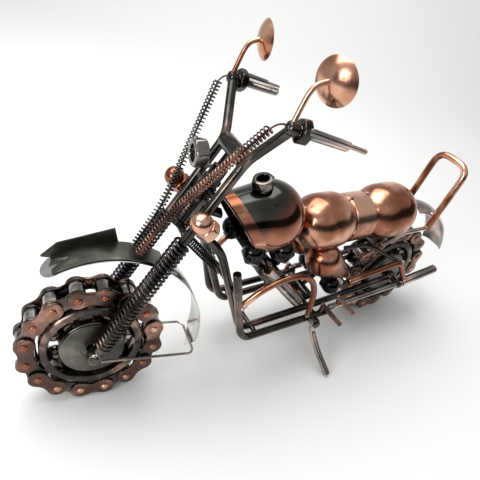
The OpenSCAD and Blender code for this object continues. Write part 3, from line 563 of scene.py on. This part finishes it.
# %% Nuts, threads and turned parts
def nut(point, direction, flats, height, bore, spin=0.0, sides=72):
    """min(hexagon, cone) rings up the outside, then down the bore: the hexagon's radius is (flats/2)/cos of
    the angle from the nearest flat's middle."""
    a = np.linspace(0, 2 * np.pi, sides, endpoint=False)
    hexagon = flats / 2 / np.cos((a + spin) % (np.pi / 3) - np.pi / 6)
    cut = 0.16 * flats
    rise = np.array([0, 0.12, 0.35, 0.65, 1.0]) * cut * 0.55
    cone = flats * 0.475 + (rise / rise[-1]) * flats * 0.115
    reach = np.concatenate([cone, cone[::-1]])
    outer = [np.minimum(hexagon, r) for r in reach]
    levels = np.concatenate([rise, height - rise[::-1]])
    mouth, wall = np.full(sides, bore + 0.35), np.full(sides, bore)
    rings = [(mouth, 0.0), *zip(outer, levels), (mouth, height),
             (wall, height - 0.4), (wall, 0.4), (mouth, 0.0)]
    grid = np.stack([np.stack([r * np.cos(a), r * np.sin(a), np.full(sides, h)], -1) for r, h in rings])
    return stand_on(point, direction, [patch(grid, wrap_cols=True)])


def thread(point, direction, length, radius, pitch=0.8, sides=28):
    """r = root + depth |2 frac(z/pitch - a/2pi) - 1|, faded to the root at both ends, with flat ends."""
    depth = 0.55 * pitch
    z = np.linspace(0, length, int(length / pitch * 8))[:, None]
    a = np.linspace(0, 2 * np.pi, sides, endpoint=False)[None]
    saw = np.abs(2 * ((z / pitch - a / (2 * np.pi)) % 1) - 1)
    fade = np.clip(np.minimum(z, length - z) / (0.8 * pitch), 0, 1)
    r = radius - depth + depth * saw * fade
    grid = np.stack([r * np.cos(a), r * np.sin(a), z + 0 * a], -1)
    end = np.zeros((1, sides, 3))
    grid = np.concatenate([end, grid, end + [0, 0, length]])
    return stand_on(point, direction, [patch(grid, wrap_cols=True)])


def ball(point, radius, direction=(0, 0, 1), sides=40):
    t = np.linspace(-np.pi / 2, np.pi / 2, 24)
    return stand_on(point, direction, [lathe(np.stack([radius * np.cos(t), radius * np.sin(t)], -1), sides)])


def plain(profile, point, direction, sides=48):
    return stand_on(point, direction, [lathe(profile, sides)])


def barrel(length, radius, edge=0.4):
    """A short solid cylinder's profile with bevelled rims."""
    return [(0, 0), (radius - edge, 0), (radius, edge), (radius, length - edge), (radius - edge, length),
            (0, length)]


# %% Head, yokes and stem
axis_up = on_axis(1) - on_axis(0)
head_lo, head_hi, head_r, cap_s = 83.0, 99.0, 5.0, 101.0
riser_s = bar_bend - 1
stem = [*plain(barrel(head_lo - 0.3 - yoke_s, head_r), on_axis(yoke_s), axis_up),
        *plain([(0, 0), (4.6, 0), (5, 0.4), (5, 5.2), (4.4, 5.8), (4.4, 6.6), (4.9, 7.2), (4.9, 9.2), (4, 9.9),
                (4, 15.4), (3.4, 16), (2.6, 16), (2.6, 22), (0, 22)], on_axis(head_hi + 0.3), axis_up),
        rod([on_axis(yoke_s + 0.9, -fork_half + 2.5), on_axis(yoke_s + 0.9, fork_half - 2.5)], 1.8),
        rod([on_axis(cap_s + 2.2, -fork_half + 2.5), on_axis(cap_s + 2.2, fork_half - 2.5)], 1.8),
        rod([on_axis(yoke_s + 0.9), on_axis(yoke_s - 4, 0, -7)], 1.4)]
on_fork("steering_column", stem, nickel_dark, "steering_stem")
head = plain([(2.7, 0), (4.6, 0), (5, 0.4), (5, 12.4), (5.6, 12.6), (5.85, 13), (5.85, 15), (5.5, 15.4),
              (5, 15.5), (4.6, 16), (2.7, 16), (2.7, 0)], on_axis(head_lo), axis_up)
on_frame("head_barrel", head, nickel, "head_tube")
riser_width = 23
riser = plain(barrel(riser_width, 4.3, 0.5), on_axis(riser_s, -riser_width / 2), [0, 1, 0])
on_fork("handlebar_clamp", riser, nickel, "bar_riser")

# %% Headlamp nut and the turn signals
lamp_c = on_axis(riser_s - 8.5, 0, 11)
lamp = [*nut(lamp_c, [-1, 0, 0], 12.6, 6.5, 4.1, 0.3),
        rod([lamp_c + [-1, 0, -6], on_axis(riser_s - 12, 0, 4)], 1)]
on_fork("headlamp_ring", lamp, nickel_painted_highlight, "headlamp_nut")
signal_s, signal_dir = 92, np.array([-0.67, 0, 0.742])
signal_c = on_axis(signal_s, fork_half + 9)
signals = [*nut(signal_c - signal_dir * 3, signal_dir, 9.8, 5, 2),
           *ball(signal_c + signal_dir * 4.6, 5.3, signal_dir),
           rod([signal_c, on_axis(signal_s, fork_half + 2.6)], 1.2)]
on_fork("turn_signal_domes", both(signals), copper, "turn_signals")

# %% Grips: a nut on the end of each bar, a bolt through it, and a lever in front
grips = both(nut(bar_top + bar_dir * 2.6, bar_dir, 10, 4, 2.5, 0.2))
on_fork("grip_hexagons", grips, nickel, "grip_nuts")
bolts = thread(bar_top - bar_dir * 1.5, bar_dir, 29, 2.4)
on_fork("grip_threads", both(bolts), nickel_painted_highlight, "grip_bolts")
lever = [rod([bar_top + [4.6, 5.4, 1.0], bar_top + [6, 6.2, 0.9], bar_top + [23, 7.9, -3.7]], 1.6, 1.5),
         rod([bar_top + [21.6, 7.8, -3.3], bar_top + [31, 8.9, -5.9]], 1.05)]
on_fork("grip_levers", both(lever), nickel_painted_highlight, "levers")

# %% Mirrors: a bent stem and a dished disc, each turned its own way
stem_path = np.array([[-0.8, -0.2, 1], [3.2, -0.4, 13.2], [5.6, -0.2, 17.2], [10.9, 0, 19]]) + bar_top
on_fork("mirror_wires", both([rod(stem_path, 1.15, 5.5, 16)]), copper, "mirror_stems")
mirror_r, dish_depth = 9.8, 3.6
dish_ball = (mirror_r ** 2 + dish_depth ** 2) / (2 * dish_depth)


def mirror_disc(turn, side):
    """A dome on its rim: h = ball - depth - sqrt(ball^2 - r^2), with a nearly flat face inside it."""
    r = np.linspace(0, mirror_r, 16)
    back = dish_ball - dish_depth - np.sqrt(dish_ball ** 2 - r ** 2)
    rim = [(mirror_r, 0.0), (mirror_r - 0.15, 0.12), (mirror_r - 0.55, 0.10), (mirror_r - 0.7, -0.25)]
    q = np.linspace(mirror_r - 1.2, 0, 8)
    profile = list(zip(r, back)) + rim[1:] + list(zip(q, -0.55 - 0.25 * np.cos(q / mirror_r * np.pi / 2)))
    a = math.radians(turn) * -side
    centre = (bar_top + [14.0, 0, 19]) * [1, side, 1]
    return plain(profile, centre, [math.cos(a), math.sin(a), 0], 72)


on_fork("mirror_discs", mirror_disc(3, 1) + mirror_disc(24, -1), copper, "mirrors")

# %% [markdown]
# The mudguard is a strip of sheet rolled to an arc, with a rounded nose and a pointed tail. A second, darker
# strip with a notched front lies on top of it, and a small upright plate stands on that.

# %% Mudguard, strip, plate and stay
guard_c, guard_r, guard_half, guard_t = front_axle + [6.3, 0, 3.9], 50.6, 8.0, 0.8
guard_back, guard_front = -24, 124


def rolled(angles, across_y, radius, centre):
    """Points on a rolled sheet: centre + (r cos a, y, r sin a); angles and y may be grids."""
    return np.stack([centre[0] + radius * np.cos(angles), across_y + 0 * angles + 0 * radius,
                     centre[2] + radius * np.sin(angles)], -1)


a = np.radians(np.concatenate([np.linspace(guard_back, -10, 18), np.linspace(-9, 114, 96),
                               np.linspace(115, guard_front, 24)]))[:, None]
from_nose = (math.radians(guard_front) - a) * guard_r
nose = np.sqrt(np.clip(1 - (1 - np.clip(from_nose / guard_half, 0, 1)) ** 2, 0, 1))
tail = np.clip((a - math.radians(guard_back)) * guard_r / 11, 0, 1)
half = guard_half * np.minimum(nose, tail)
y = np.linspace(-1, 1, 17)[None] * half
crown = 0.25 * (1 - (y / guard_half) ** 2)
guard = slab(rolled(a, y, guard_r + guard_t - 0.25 + crown, guard_c),
             rolled(a, y, guard_r + crown * 0.8, guard_c))
on_fork("mudguard_sheet", [guard], sheet_bright, "mudguard")
front_edge, back_edge = math.radians(117), math.radians(56)
u = np.linspace(0, 1, 60)[:, None]
y = np.linspace(-1, 1, 25)[None] * (guard_half - 0.6)
notch = math.radians(10) * np.clip(1 - np.abs(y) / 3.6, 0, 1)
a = back_edge + (front_edge - notch - back_edge) * u
top = guard_r + 2 * guard_t
strip = slab(rolled(a, y, top - 0.05, guard_c), rolled(a, y, guard_r + guard_t + 0.06, guard_c))
on_fork("mudguard_top_strip", [strip], sheet_dark, "mudguard_strip")
x = np.concatenate([np.linspace(-27.9, -20.5, 9), np.linspace(-19, 6, 14)])
bottom = np.where(x < -24.4, 47.3 - (x + 27.9) * 0.30, np.sqrt(np.clip(52.4 ** 2 - x ** 2, 0, None)))
low = np.column_stack([x + np.where(x > 5.9, 1.7, 0), bottom])
high = np.column_stack([x, np.interp(x, [-27.9, -20.5, 6], [47.7, 54.2, 60.2])])
rows = np.stack([low + (high - low) * k for k in np.linspace(0, 1, 8)])
plate_front = np.stack([rows[..., 0] + guard_c[0], 5.55 + 0 * rows[..., 0], rows[..., 1] + guard_c[2]], -1)
on_fork("number_plate_sheet", [slab(plate_front, plate_front + [0, 0.9, 0])], sheet_dark, "number_plate")
stay_r, tail_z = 0.75, -10
reach = guard_c[0] + math.sqrt(guard_r ** 2 - (10 + 3.9) ** 2) - stay_r - 0.02
side = fork_half - 1
half_stay = np.array([[0, side, -4.8], [reach - 2, side, tail_z], [reach, side - 3, tail_z]])
stay = np.concatenate([half_stay, other_side(half_stay)[::-1]]) + front_axle
on_fork("mudguard_wire", [rod(stay, stay_r, 2.5, 14)], nickel_painted_highlight, "mudguard_stay")

# %% [markdown]
# The frame is bent tube welded up in pairs: an inner loop on each side from the head to the rear axle, and a
# lower outer cradle beside it. Where two rods meet there is a bead of weld.

# %% Frame loops and cradles
tube_r = 2.3
loop = [on_axis(head_lo + 3, 4.9), [62, inner_half - 1.6, 92], [front_x - 2, inner_half, rail_z + 5],
        [front_x + 3, inner_half, rail_z], [peg_x, inner_half, rail_z + 3], rear_axle + [-3.4, inner_half, 0]]
loop_eye = [(p * [1, 4.6 / 4.8, 1] + rear_axle + [0, inner_half, 0], f) for p, f in eye]
side_loop = [rod(loop, tube_r, 6, 24)] + loop_eye
on_frame("frame_loop_right", side_loop, nickel, "frame_right")
on_frame("frame_loop_left", mirrored(side_loop), nickel, "frame_left")
cradle = [[68, cradle_half, 84], [front_x - 5, cradle_half, rail_z + 6], [front_x, cradle_half, rail_z],
          [peg_x + 6, cradle_half, rail_z + 2]]
on_frame("cradle_rod_right", [rod(cradle, tube_r, 5, 24)], nickel, "cradle_right")
stand_top = np.array([peg_x - 9.5, -cradle_half - tube_r - 2.5, rail_z + 1.4])
pin_out = stand_top[1] - 2.2
pivot = plain([(0, 0), (1.5, 0), (1.5, 7.2), (2.6, 7.2), (2.6, 8), (2.2, 8.4), (0, 8.4)],
              [stand_top[0], pin_out + 7.0, stand_top[2]], [0, -1, 0], 32)
on_frame("cradle_rod_left", [rod(other_side(cradle), tube_r, 5, 24)] + pivot, nickel, "cradle_left")
for node in ("cross_bars", "neck_brace"):
    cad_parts[node].data.materials[0] = nickel_dark

# %% Kickstand
knee, foot = np.array([stand_top[0] + 0.6, -36.4, 13]), np.array([stand_top[0] + 3.9, -48.9, 1.7])
stand = [rod([stand_top - [0, 0, 2.6], stand_top - [0, 1, 7], knee, foot], 2.1, 5, 20),
         *plain([(1.56, 0), (3.1, 0), (3.4, 0.3), (3.4, 4.1), (3.1, 4.4), (1.56, 4.4), (1.56, 0)],
                stand_top + [0, 2.2, 0], [0, -1, 0], 36)]
stand[0][0][:, 2] = np.maximum(stand[0][0][:, 2], 0)
piece("kickstand_leg", "kickstand", stand, bike, nickel_painted_highlight, ["kickstand"])

# %% [markdown]
# The tank and the seat are stamped shells: a long nosed ball for the tank, cut off at a slant where its band
# sits, and two egg shells with a ring between them for the seat. They carry the brightest copper.

# %% Tank
tank_c, tank_r, nose_len, shell_t = np.array([95.0, 0, 102.5]), 20.0, 31.0, 1.0
tank_front, tank_dir = np.array([74.0, 0, 105.5]), unit([0.85, 0, 0.53])


def tank_radius(x, wall=0.0):
    """The radius at x from the tank's centre: the ball sqrt(R^2 - x^2) or the straight nose if larger."""
    round_part = np.sqrt(np.clip((tank_r - wall) ** 2 - x ** 2, 0, None))
    nose = 14.6 - wall + (tank_r - 0.3 - 14.6) * (x + nose_len) / nose_len
    return np.where(x < 0, np.maximum(round_part, nose), round_part)


def cut_start(a, back, wall=0.0):
    """Where the shell at angle a round X meets the slanted plane, moved back along it: x by 40 halvings."""
    low, high = np.full_like(a, -nose_len), np.full_like(a, tank_r)
    for _ in range(40):
        x = (low + high) / 2
        point = np.stack([x, tank_radius(x, wall) * np.sin(a), tank_radius(x, wall) * np.cos(a)], -1) + tank_c
        behind = (point - tank_front - tank_dir * back) @ tank_dir > 0
        low, high = np.where(behind, low, x), np.where(behind, x, high)
    return (low + high) / 2


def tank_skin(back_from, back_to, wall, rows, sides=112):
    """A grid over the tank from one slanted cut to another, or to its round end, evened out by angle."""
    a = np.linspace(0, 2 * np.pi, sides, endpoint=False)
    start = cut_start(a, back_from, wall)
    stop = np.full_like(a, tank_r - wall) if back_to is None else cut_start(a, back_to, wall)
    t = np.linspace(0, 1, rows)[:, None]
    t = np.sin(t * np.pi / 2) if back_to is None else t
    x = start + (stop - start) * t
    r = tank_radius(x, wall)
    return np.stack([x, r * np.sin(a), r * np.cos(a)], -1) + tank_c


outer, inner = tank_skin(-2, None, 0, 72), tank_skin(-2, None, shell_t, 40)
lip = 0.5 * (outer[:1] + inner[:1])
tank = [patch(np.concatenate([inner[::-1], lip, outer]), wrap_cols=True)]
# The tank's dark top is a painted reflection, with copper below and behind.
on_frame("tank_body", tank, tank_painted_reflection_finish, "tank_shell", merge=1e-5)
band = np.concatenate([tank_skin(-1.4, 4.6, -0.05, 8), tank_skin(-1.2, 4.4, -0.8, 8)[::-1]])
strap = [patch(np.concatenate([band, band[:1]]), wrap_cols=True)]
on_frame("tank_strap", strap, copper, "tank_band")
filler_c = tank_c + [-8, 0, tank_r * 0.916]
filler_up = unit([-0.30, 0, 0.95])
filler = nut(filler_c + filler_up * 1.0, filler_up, 10.6, 5.4, 3.3, 0.26)
on_frame("filler_hexagon", filler, bronze, "filler_nut")


# %% Seat shells and their ring
def egg(centre, radius, stretch=4.0, rows=26):
    """A ball pulled apart by 2 x stretch along X, with a straight waist between its halves."""
    t = np.linspace(0, np.pi / 2, rows)
    end = np.stack([radius * np.sin(t), -stretch - radius * np.cos(t)], -1)
    straight = [(radius * 0.9995, h) for h in np.linspace(-stretch, stretch, 5)[1:-1]]
    return plain(np.vstack([end, straight, end[::-1] * [1, -1]]), centre, [1, 0, 0], 112)


seat_z = 90.5
on_frame("seat_shell_front", egg([138.5, 0, 91], 17.4), copper, "seat_front")
on_frame("seat_shell_rear", egg([190, 0, seat_z], 18.4), copper, "seat_rear")
ring = [(14.4, 0.6), (15.0, 0.6), (15.4, 1.0), (15.4, 8), (15.4, 16), (15.0, 16.4), (14.4, 16.4), (14.4, 0.6)]
on_frame("seat_sleeve", plain(ring, [152, 0, seat_z], [1, 0, 0], 112), copper, "seat_ring")

# %% Sissy bar, its struts and the rear fender
sissy_half, sissy_r = 12.5, 2.3
sissy_base = np.array([wheelbase + 14, sissy_half, 77])
sissy_top = np.array([wheelbase + 26, sissy_half, 124])
loop = [sissy_base, sissy_top, other_side(sissy_top), other_side(sissy_base)]
on_frame("sissy_loop", [rod(loop, sissy_r, 9, 24)], copper, "sissy_bar")
strut = rod([[wheelbase - 28, sissy_half + 1.6, 73], [wheelbase - 12, sissy_half + 0.8, 79.5],
             sissy_base + [0, 0, 1.4]], 1.5, 6)
cross_end = np.array([wheelbase + 16.7, -sissy_half, rear_z + 50.6])
cross = rod([cross_end, other_side(cross_end)], 1.2)
on_frame("sissy_struts_rods", both([strut]) + [cross], nickel_painted_highlight, "sissy_struts")
a = np.radians(np.linspace(12, 86, 70))[:, None]
y = np.linspace(-9, 9, 25)[None]
arch = 40.5 + np.sqrt(16 ** 2 - y ** 2)
fender = slab(rolled(a, y, arch, rear_axle), rolled(a, y, arch - 0.9, rear_axle))
y = np.linspace(-6, 6, 9)[:, None] * [0, 1, 0]
lip_top = np.stack([y + [54.9, 0, 11.2], y * 0.62 + [62.0, 0, 7.9]]) + rear_axle
on_frame("rear_guard", [fender, slab(lip_top, lip_top - [0, 0, 0.7])], nickel_painted_highlight, "rear_fender")

# %% [markdown]
# The engine is suggested with what lay on the bench: four cap nuts on slanting studs for the cylinders, a
# thick bolt leaning across them, a cap nut for the case and a teardrop cover on each side.

# %% Cap nuts, studs and the leaning bolt
core_a, core_b = np.array([98.0, 0, 66]), np.array([112.0, 0, 64])
stud_a, stud_b = np.array([82.0, 12, 88]), np.array([103.0, 12, 85])


def cap_nut(tip, direction, flats=12.0, dome=5.9):
    """A hexagon five high with a ball for its top."""
    return [*nut(tip - unit(direction) * 5, direction, flats, 5, 2.5, 0.2), *ball(tip, dome, direction, 48)]


caps = cap_nut(stud_a, stud_a - core_a) + cap_nut(stud_b, stud_b - core_b)
on_frame("cylinder_caps", both(caps), black_glossy, "dome_nuts")
studs = both([rod([core_a, stud_a], 2.4), rod([core_b, stud_b], 2.4)])
core = [*plain(barrel(20, 6), [104, -10, 62], [0, 1, 0]), rod([[104, 0, 62], [peg_x - 6, 0, rail_z + 6]], 3),
        *plain(barrel(2 * inner_half - 5, 3.4), [peg_x - 6, 2.5 - inner_half, rail_z + 9], [0, 1, 0])]
on_frame("engine_core", studs + core, nickel_dark, "engine_shafts")
bolt_from, bolt_to = np.array([98.5, -9, 69]), np.array([133, -9, 31.5])
down = unit(bolt_to - bolt_from)
bolt = plain(barrel(17, 3.3), bolt_from, down) + thread(bolt_from + down * 15, down, 35.9, 4.2, 2.1, 40)
on_frame("leaning_bolt", bolt, nickel_painted_highlight, "kick_bolt")
case_c = np.array([peg_x + 7, 13.5, 46])
case = [*ball(case_c, 6, [0, 1, 0], 48), *nut(case_c - [0, 5, 0], [0, 1, 0], 11.2, 5, 2.2, 0.1),
        rod([case_c * [1, 0, 1] + [0, 0.3, 0], case_c], 2),
        rod([[peg_x + 7, 0.9, 46], [peg_x - 4, 0.9, rail_z + 10]], 0.8)]
on_frame("case_caps", both(case), black_glossy, "case_nuts")

# %% Teardrop covers
cone_base, cone_tip = np.array([129.0, 9, 76]), np.array([166, 16.5, 51])
t = np.linspace(0, np.pi * 0.52, 22)
k = np.linspace(0.04, 0.97, 20)
drop_r = 11.4
drop = np.vstack([np.stack([drop_r * np.sin(t), 12 - drop_r * np.cos(t)], -1),
                  np.stack([drop_r - (drop_r - 1.0) * k ** 1.12, 13 + 30 * k], -1), [(0.4, 43), (0, 43.1)]])
teardrop = plain(drop, cone_base, cone_tip - cone_base, 72)
for points, _ in teardrop:
    points[:, 1] = np.maximum(points[:, 1], 0.2)
on_frame("teardrop_covers", both(teardrop), copper, "side_cones")

# %% Crash bars, pegs, exhausts, saddle rods and stays
crash = np.array([[-10, 0, 57], [-1, 2.4, 69], [11, 3.4, 75], [24, 3.4, 75], [36, 2.8, 67], [43, 1.4, 53],
                  [46, 0.4, rail_z + 4]]) + [front_x, cradle_half, 0]
on_frame("crash_loops", both([rod(crash, 1.9, 9, 20)]), copper, "crash_bars")
pegs = [rod([[peg_x - 1, cradle_half - 1, 36.5], [peg_x + 8, cradle_half + 12, 27]], 1.6),
        rod([[peg_x + 11, cradle_half - 1, 40], [peg_x + 19, cradle_half + 10, 32]], 1.6),
        rod([[peg_x - 1, cradle_half, 36.5], [peg_x - 2, cradle_half, rail_z + 3]], 1.4),
        rod([[peg_x + 11, cradle_half, 40], [peg_x + 12, cradle_half, 35.5]], 1.4)]
on_frame("pegs", both(pegs), copper_dark, "foot_pegs")
pipe = [rod([[peg_x + 5.4, cradle_half, rail_z + 5.4], [wheelbase + 3, cradle_half, rear_z + 0.2]], 2.1),
        *[(p * [0.9, 0.66, 0.9] + rear_axle + [0, cradle_half, 0], f) for p, f in eye]]
on_frame("exhaust_rods", both(pipe), nickel_painted_highlight, "exhaust_pipes")
pipe_from = np.array([wheelbase + 3.7, cradle_half, rear_z + 0.3])
pipe_to = np.array([wheelbase + 36, cradle_half, rear_z + 5.4])
length = np.linalg.norm(pipe_to - pipe_from)
silencer = plain([(0, 0), (2.8, 0), (3.1, 0.3), (3.1, length - 0.3), (2.85, length), (2.2, length),
                  (2.2, length - 14), (0, length - 14)], pipe_from, pipe_to - pipe_from, 36)
on_frame("silencer_tubes", both(silencer), nickel_painted_highlight, "silencers")
saddle = [[158, cradle_half, 54], [wheelbase - 14, cradle_half, 59.5], [wheelbase - 8, cradle_half, 57],
          [wheelbase + 3.6, cradle_half, rear_z + 4]]
on_frame("saddle_loops", both([rod(saddle, 2.0, 5)]), copper, "saddle_rods")
stays = [[152, 12.4, 76.4], [172, 13, 75.5], [wheelbase - 8, cradle_half - 0.6, 58]]
on_frame("rear_stay_rods", both([rod(stays, 1.4, 9)]), nickel, "rear_stays")

# %% Weld beads where the parts meet
def beads(spots, seed):
    """Four small flattened balls at each (point, radius), spread by less than the radius."""
    rng = np.random.default_rng(seed)
    t = np.linspace(-np.pi / 2, np.pi / 2, 9)
    bead_outline = np.stack([np.cos(t), np.sin(t)], -1)
    made = []
    for point, radius in spots:
        for _ in range(4):
            at = np.asarray(point, float) + rng.uniform(-0.6, 0.6, 3) * radius
            points, faces = lathe(bead_outline * radius * rng.uniform(0.55, 0.85), 12)
            made.append((points * [1, 1, 0.8] + at, faces))
    return made


frame_spots = [([115.6, 4, 107.0], 1.5), ([115.4, -5, 106.8], 1.5), ([153.2, -2, 106.0], 1.3),
               ([168.6, 1, 106.0], 1.3), ([front_x - 9, -cradle_half - 1.4, 58], 1.6),
               ([front_x + 45, -cradle_half - 1.2, rail_z + 5], 1.6), ([226, -12.5, 78.6], 1.7),
               ([207, -20.6, 57.6], 1.7), ([216, -21.5, 41.6], 1.7), ([150, -21.5, 33.2], 1.8),
               ([138, -22.2, 28.8], 1.4), ([73, -19.6, 66], 1.7), ([74, -13, 65.4], 1.6),
               ([94, -13.4, 28.6], 1.6)]
frame_beads = beads(frame_spots, 3) + beads([(other_side(p), r) for p, r in frame_spots[4:]], 4)
on_frame("frame_weld_beads", frame_beads, nickel_painted_highlight)
fork_spots = [(on_axis(yoke_s + 1, 12.2), 1.6), (on_axis(cap_s + 2.2, 12), 1.6),
              (bar_top + [-0.6, -1.2, 1.6], 1.5), (on_axis(signal_s, fork_half + 3), 1.2),
              (on_axis(2.6, fork_half + 1.6, 1.5), 1.6)]
on_fork("fork_weld_beads", both(beads(fork_spots, 5)), nickel_painted_highlight)

# %% [markdown]
# The light is a tent: a pale floor that runs up out of sight, a bright panel above and behind for the long
# highlights, a softer one at the side, and a grey surround for the metal to reflect. A dark card, hidden
# from the camera, stands in front and gives the metal its dark bands.

# %% Floor, lights and surround
def matt(name, colour, rough):
    """A plain material for the stage."""
    material = bpy.data.materials.new(name)
    material.use_nodes = True
    shader = material.node_tree.nodes["Principled BSDF"]
    shader.inputs["Base Color"].default_value = (*colour, 1)
    shader.inputs["Roughness"].default_value = rough
    return material


def stage_sheet(name, points, faces, material):
    """A sheet that belongs to the stage and not to the motorcycle."""
    mesh = bpy.data.meshes.new(name)
    mesh.from_pydata(points, [], faces.tolist())
    mesh.shade_smooth()
    mesh.materials.append(material)
    made = put(name, mesh)
    return made


def grid_floor(size=1.6, turn_up=0.55, radius=0.35, cells=24):
    """A floor at z = 0 that curls up behind in a quarter circle: y = turn_up + r sin a, z = r (1 - cos a)."""
    a = np.linspace(0, np.pi / 2, 14)[1:]
    wall = turn_up + radius
    y = np.concatenate([np.linspace(-size, turn_up, cells), turn_up + radius * np.sin(a), [wall, wall]])
    z = np.concatenate([np.zeros(cells), radius * (1 - np.cos(a)), [radius + 0.4, radius + 1.2]])
    x = np.linspace(-size, size, 12)
    points = np.stack([x[None] + 0 * y[:, None], y[:, None] + 0 * x[None], z[:, None] + 0 * x[None]], -1)
    return points.reshape(-1, 3), patch(points)[1][:, ::-1]


points, faces = grid_floor()
turn = Matrix.Rotation(math.radians(-37.7), 3, "Z")
stage_sheet("studio_floor", points @ np.array(turn).T, faces, matt("pale_paper", (0.80, 0.80, 0.79), 0.6))


def panel(name, at, look, size, power):
    """A soft light at one point, facing another: its z axis points away from what it lights."""
    light = bpy.data.lights.new(name, "AREA")
    light.shape, light.size, light.size_y = "RECTANGLE", *size
    light.energy = power
    made = put(name, light)
    made.location = at
    z = unit(np.asarray(at, float) - look)
    x = unit(np.cross([0, 0, 1.0], z))
    made.rotation_euler = Matrix(np.stack([x, np.cross(z, x), z], 1).tolist()).to_euler()


panel("top_panel", (-0.10, 0.25, 0.75), (0, 0, 0.06), (0.9, 0.6), 7.0)
panel("left_panel", (-0.75, -0.25, 0.45), (0, 0, 0.08), (0.35, 0.35), 3.0)


def card(name, turns, radius, low, high):
    """A dark card standing in an arc about the model: (r cos a, r sin a, z)."""
    a = np.radians(np.linspace(*turns, 40))[:, None]
    z = np.linspace(low, high, 4)[None]
    points, faces = patch(np.stack([radius * np.cos(a) + 0 * z, radius * np.sin(a) + 0 * z, z + 0 * a], -1))
    stage_sheet(name, points, faces, matt("card_black", (0.02, 0.02, 0.02), 0.9)).visible_camera = False


card("dark_card", (170, 355), 1.0, 0.05, 0.50)
world = bpy.data.worlds.new("tent")
world.use_nodes = True
bpy.context.scene.world = world
world.node_tree.nodes["Background"].inputs["Color"].default_value = (0.86, 0.87, 0.88, 1)
world.node_tree.nodes["Background"].inputs["Strength"].default_value = 0.62
bpy.context.scene.view_settings.view_transform = "Standard"

# %% Camera
azimuth, elevation, roll = (math.radians(v) for v in (-37.7, 36.6, 14.3))
level = math.cos(elevation)
back = np.array([math.sin(azimuth) * level, -math.cos(azimuth) * level, math.sin(elevation)])
right = unit(np.cross(-back, [0, 0, 1.0]))
up = np.cross(right, -back)
right, up = math.cos(roll) * right + math.sin(roll) * up, -math.sin(roll) * right + math.cos(roll) * up
camera = put("camera", bpy.data.cameras.new("camera"))
camera.data.lens, camera.data.sensor_width = 35.86, 36.0
camera.data.clip_start = 0.01
where = bike([-48.4, -166.8, 244.2])
camera.matrix_world = Matrix(np.vstack([np.stack([right, up, back, where], 1), [0, 0, 0, 1]]).tolist())
bpy.context.scene.camera = camera
print("camera at", where.round(3), "looking along", (-back).round(2))
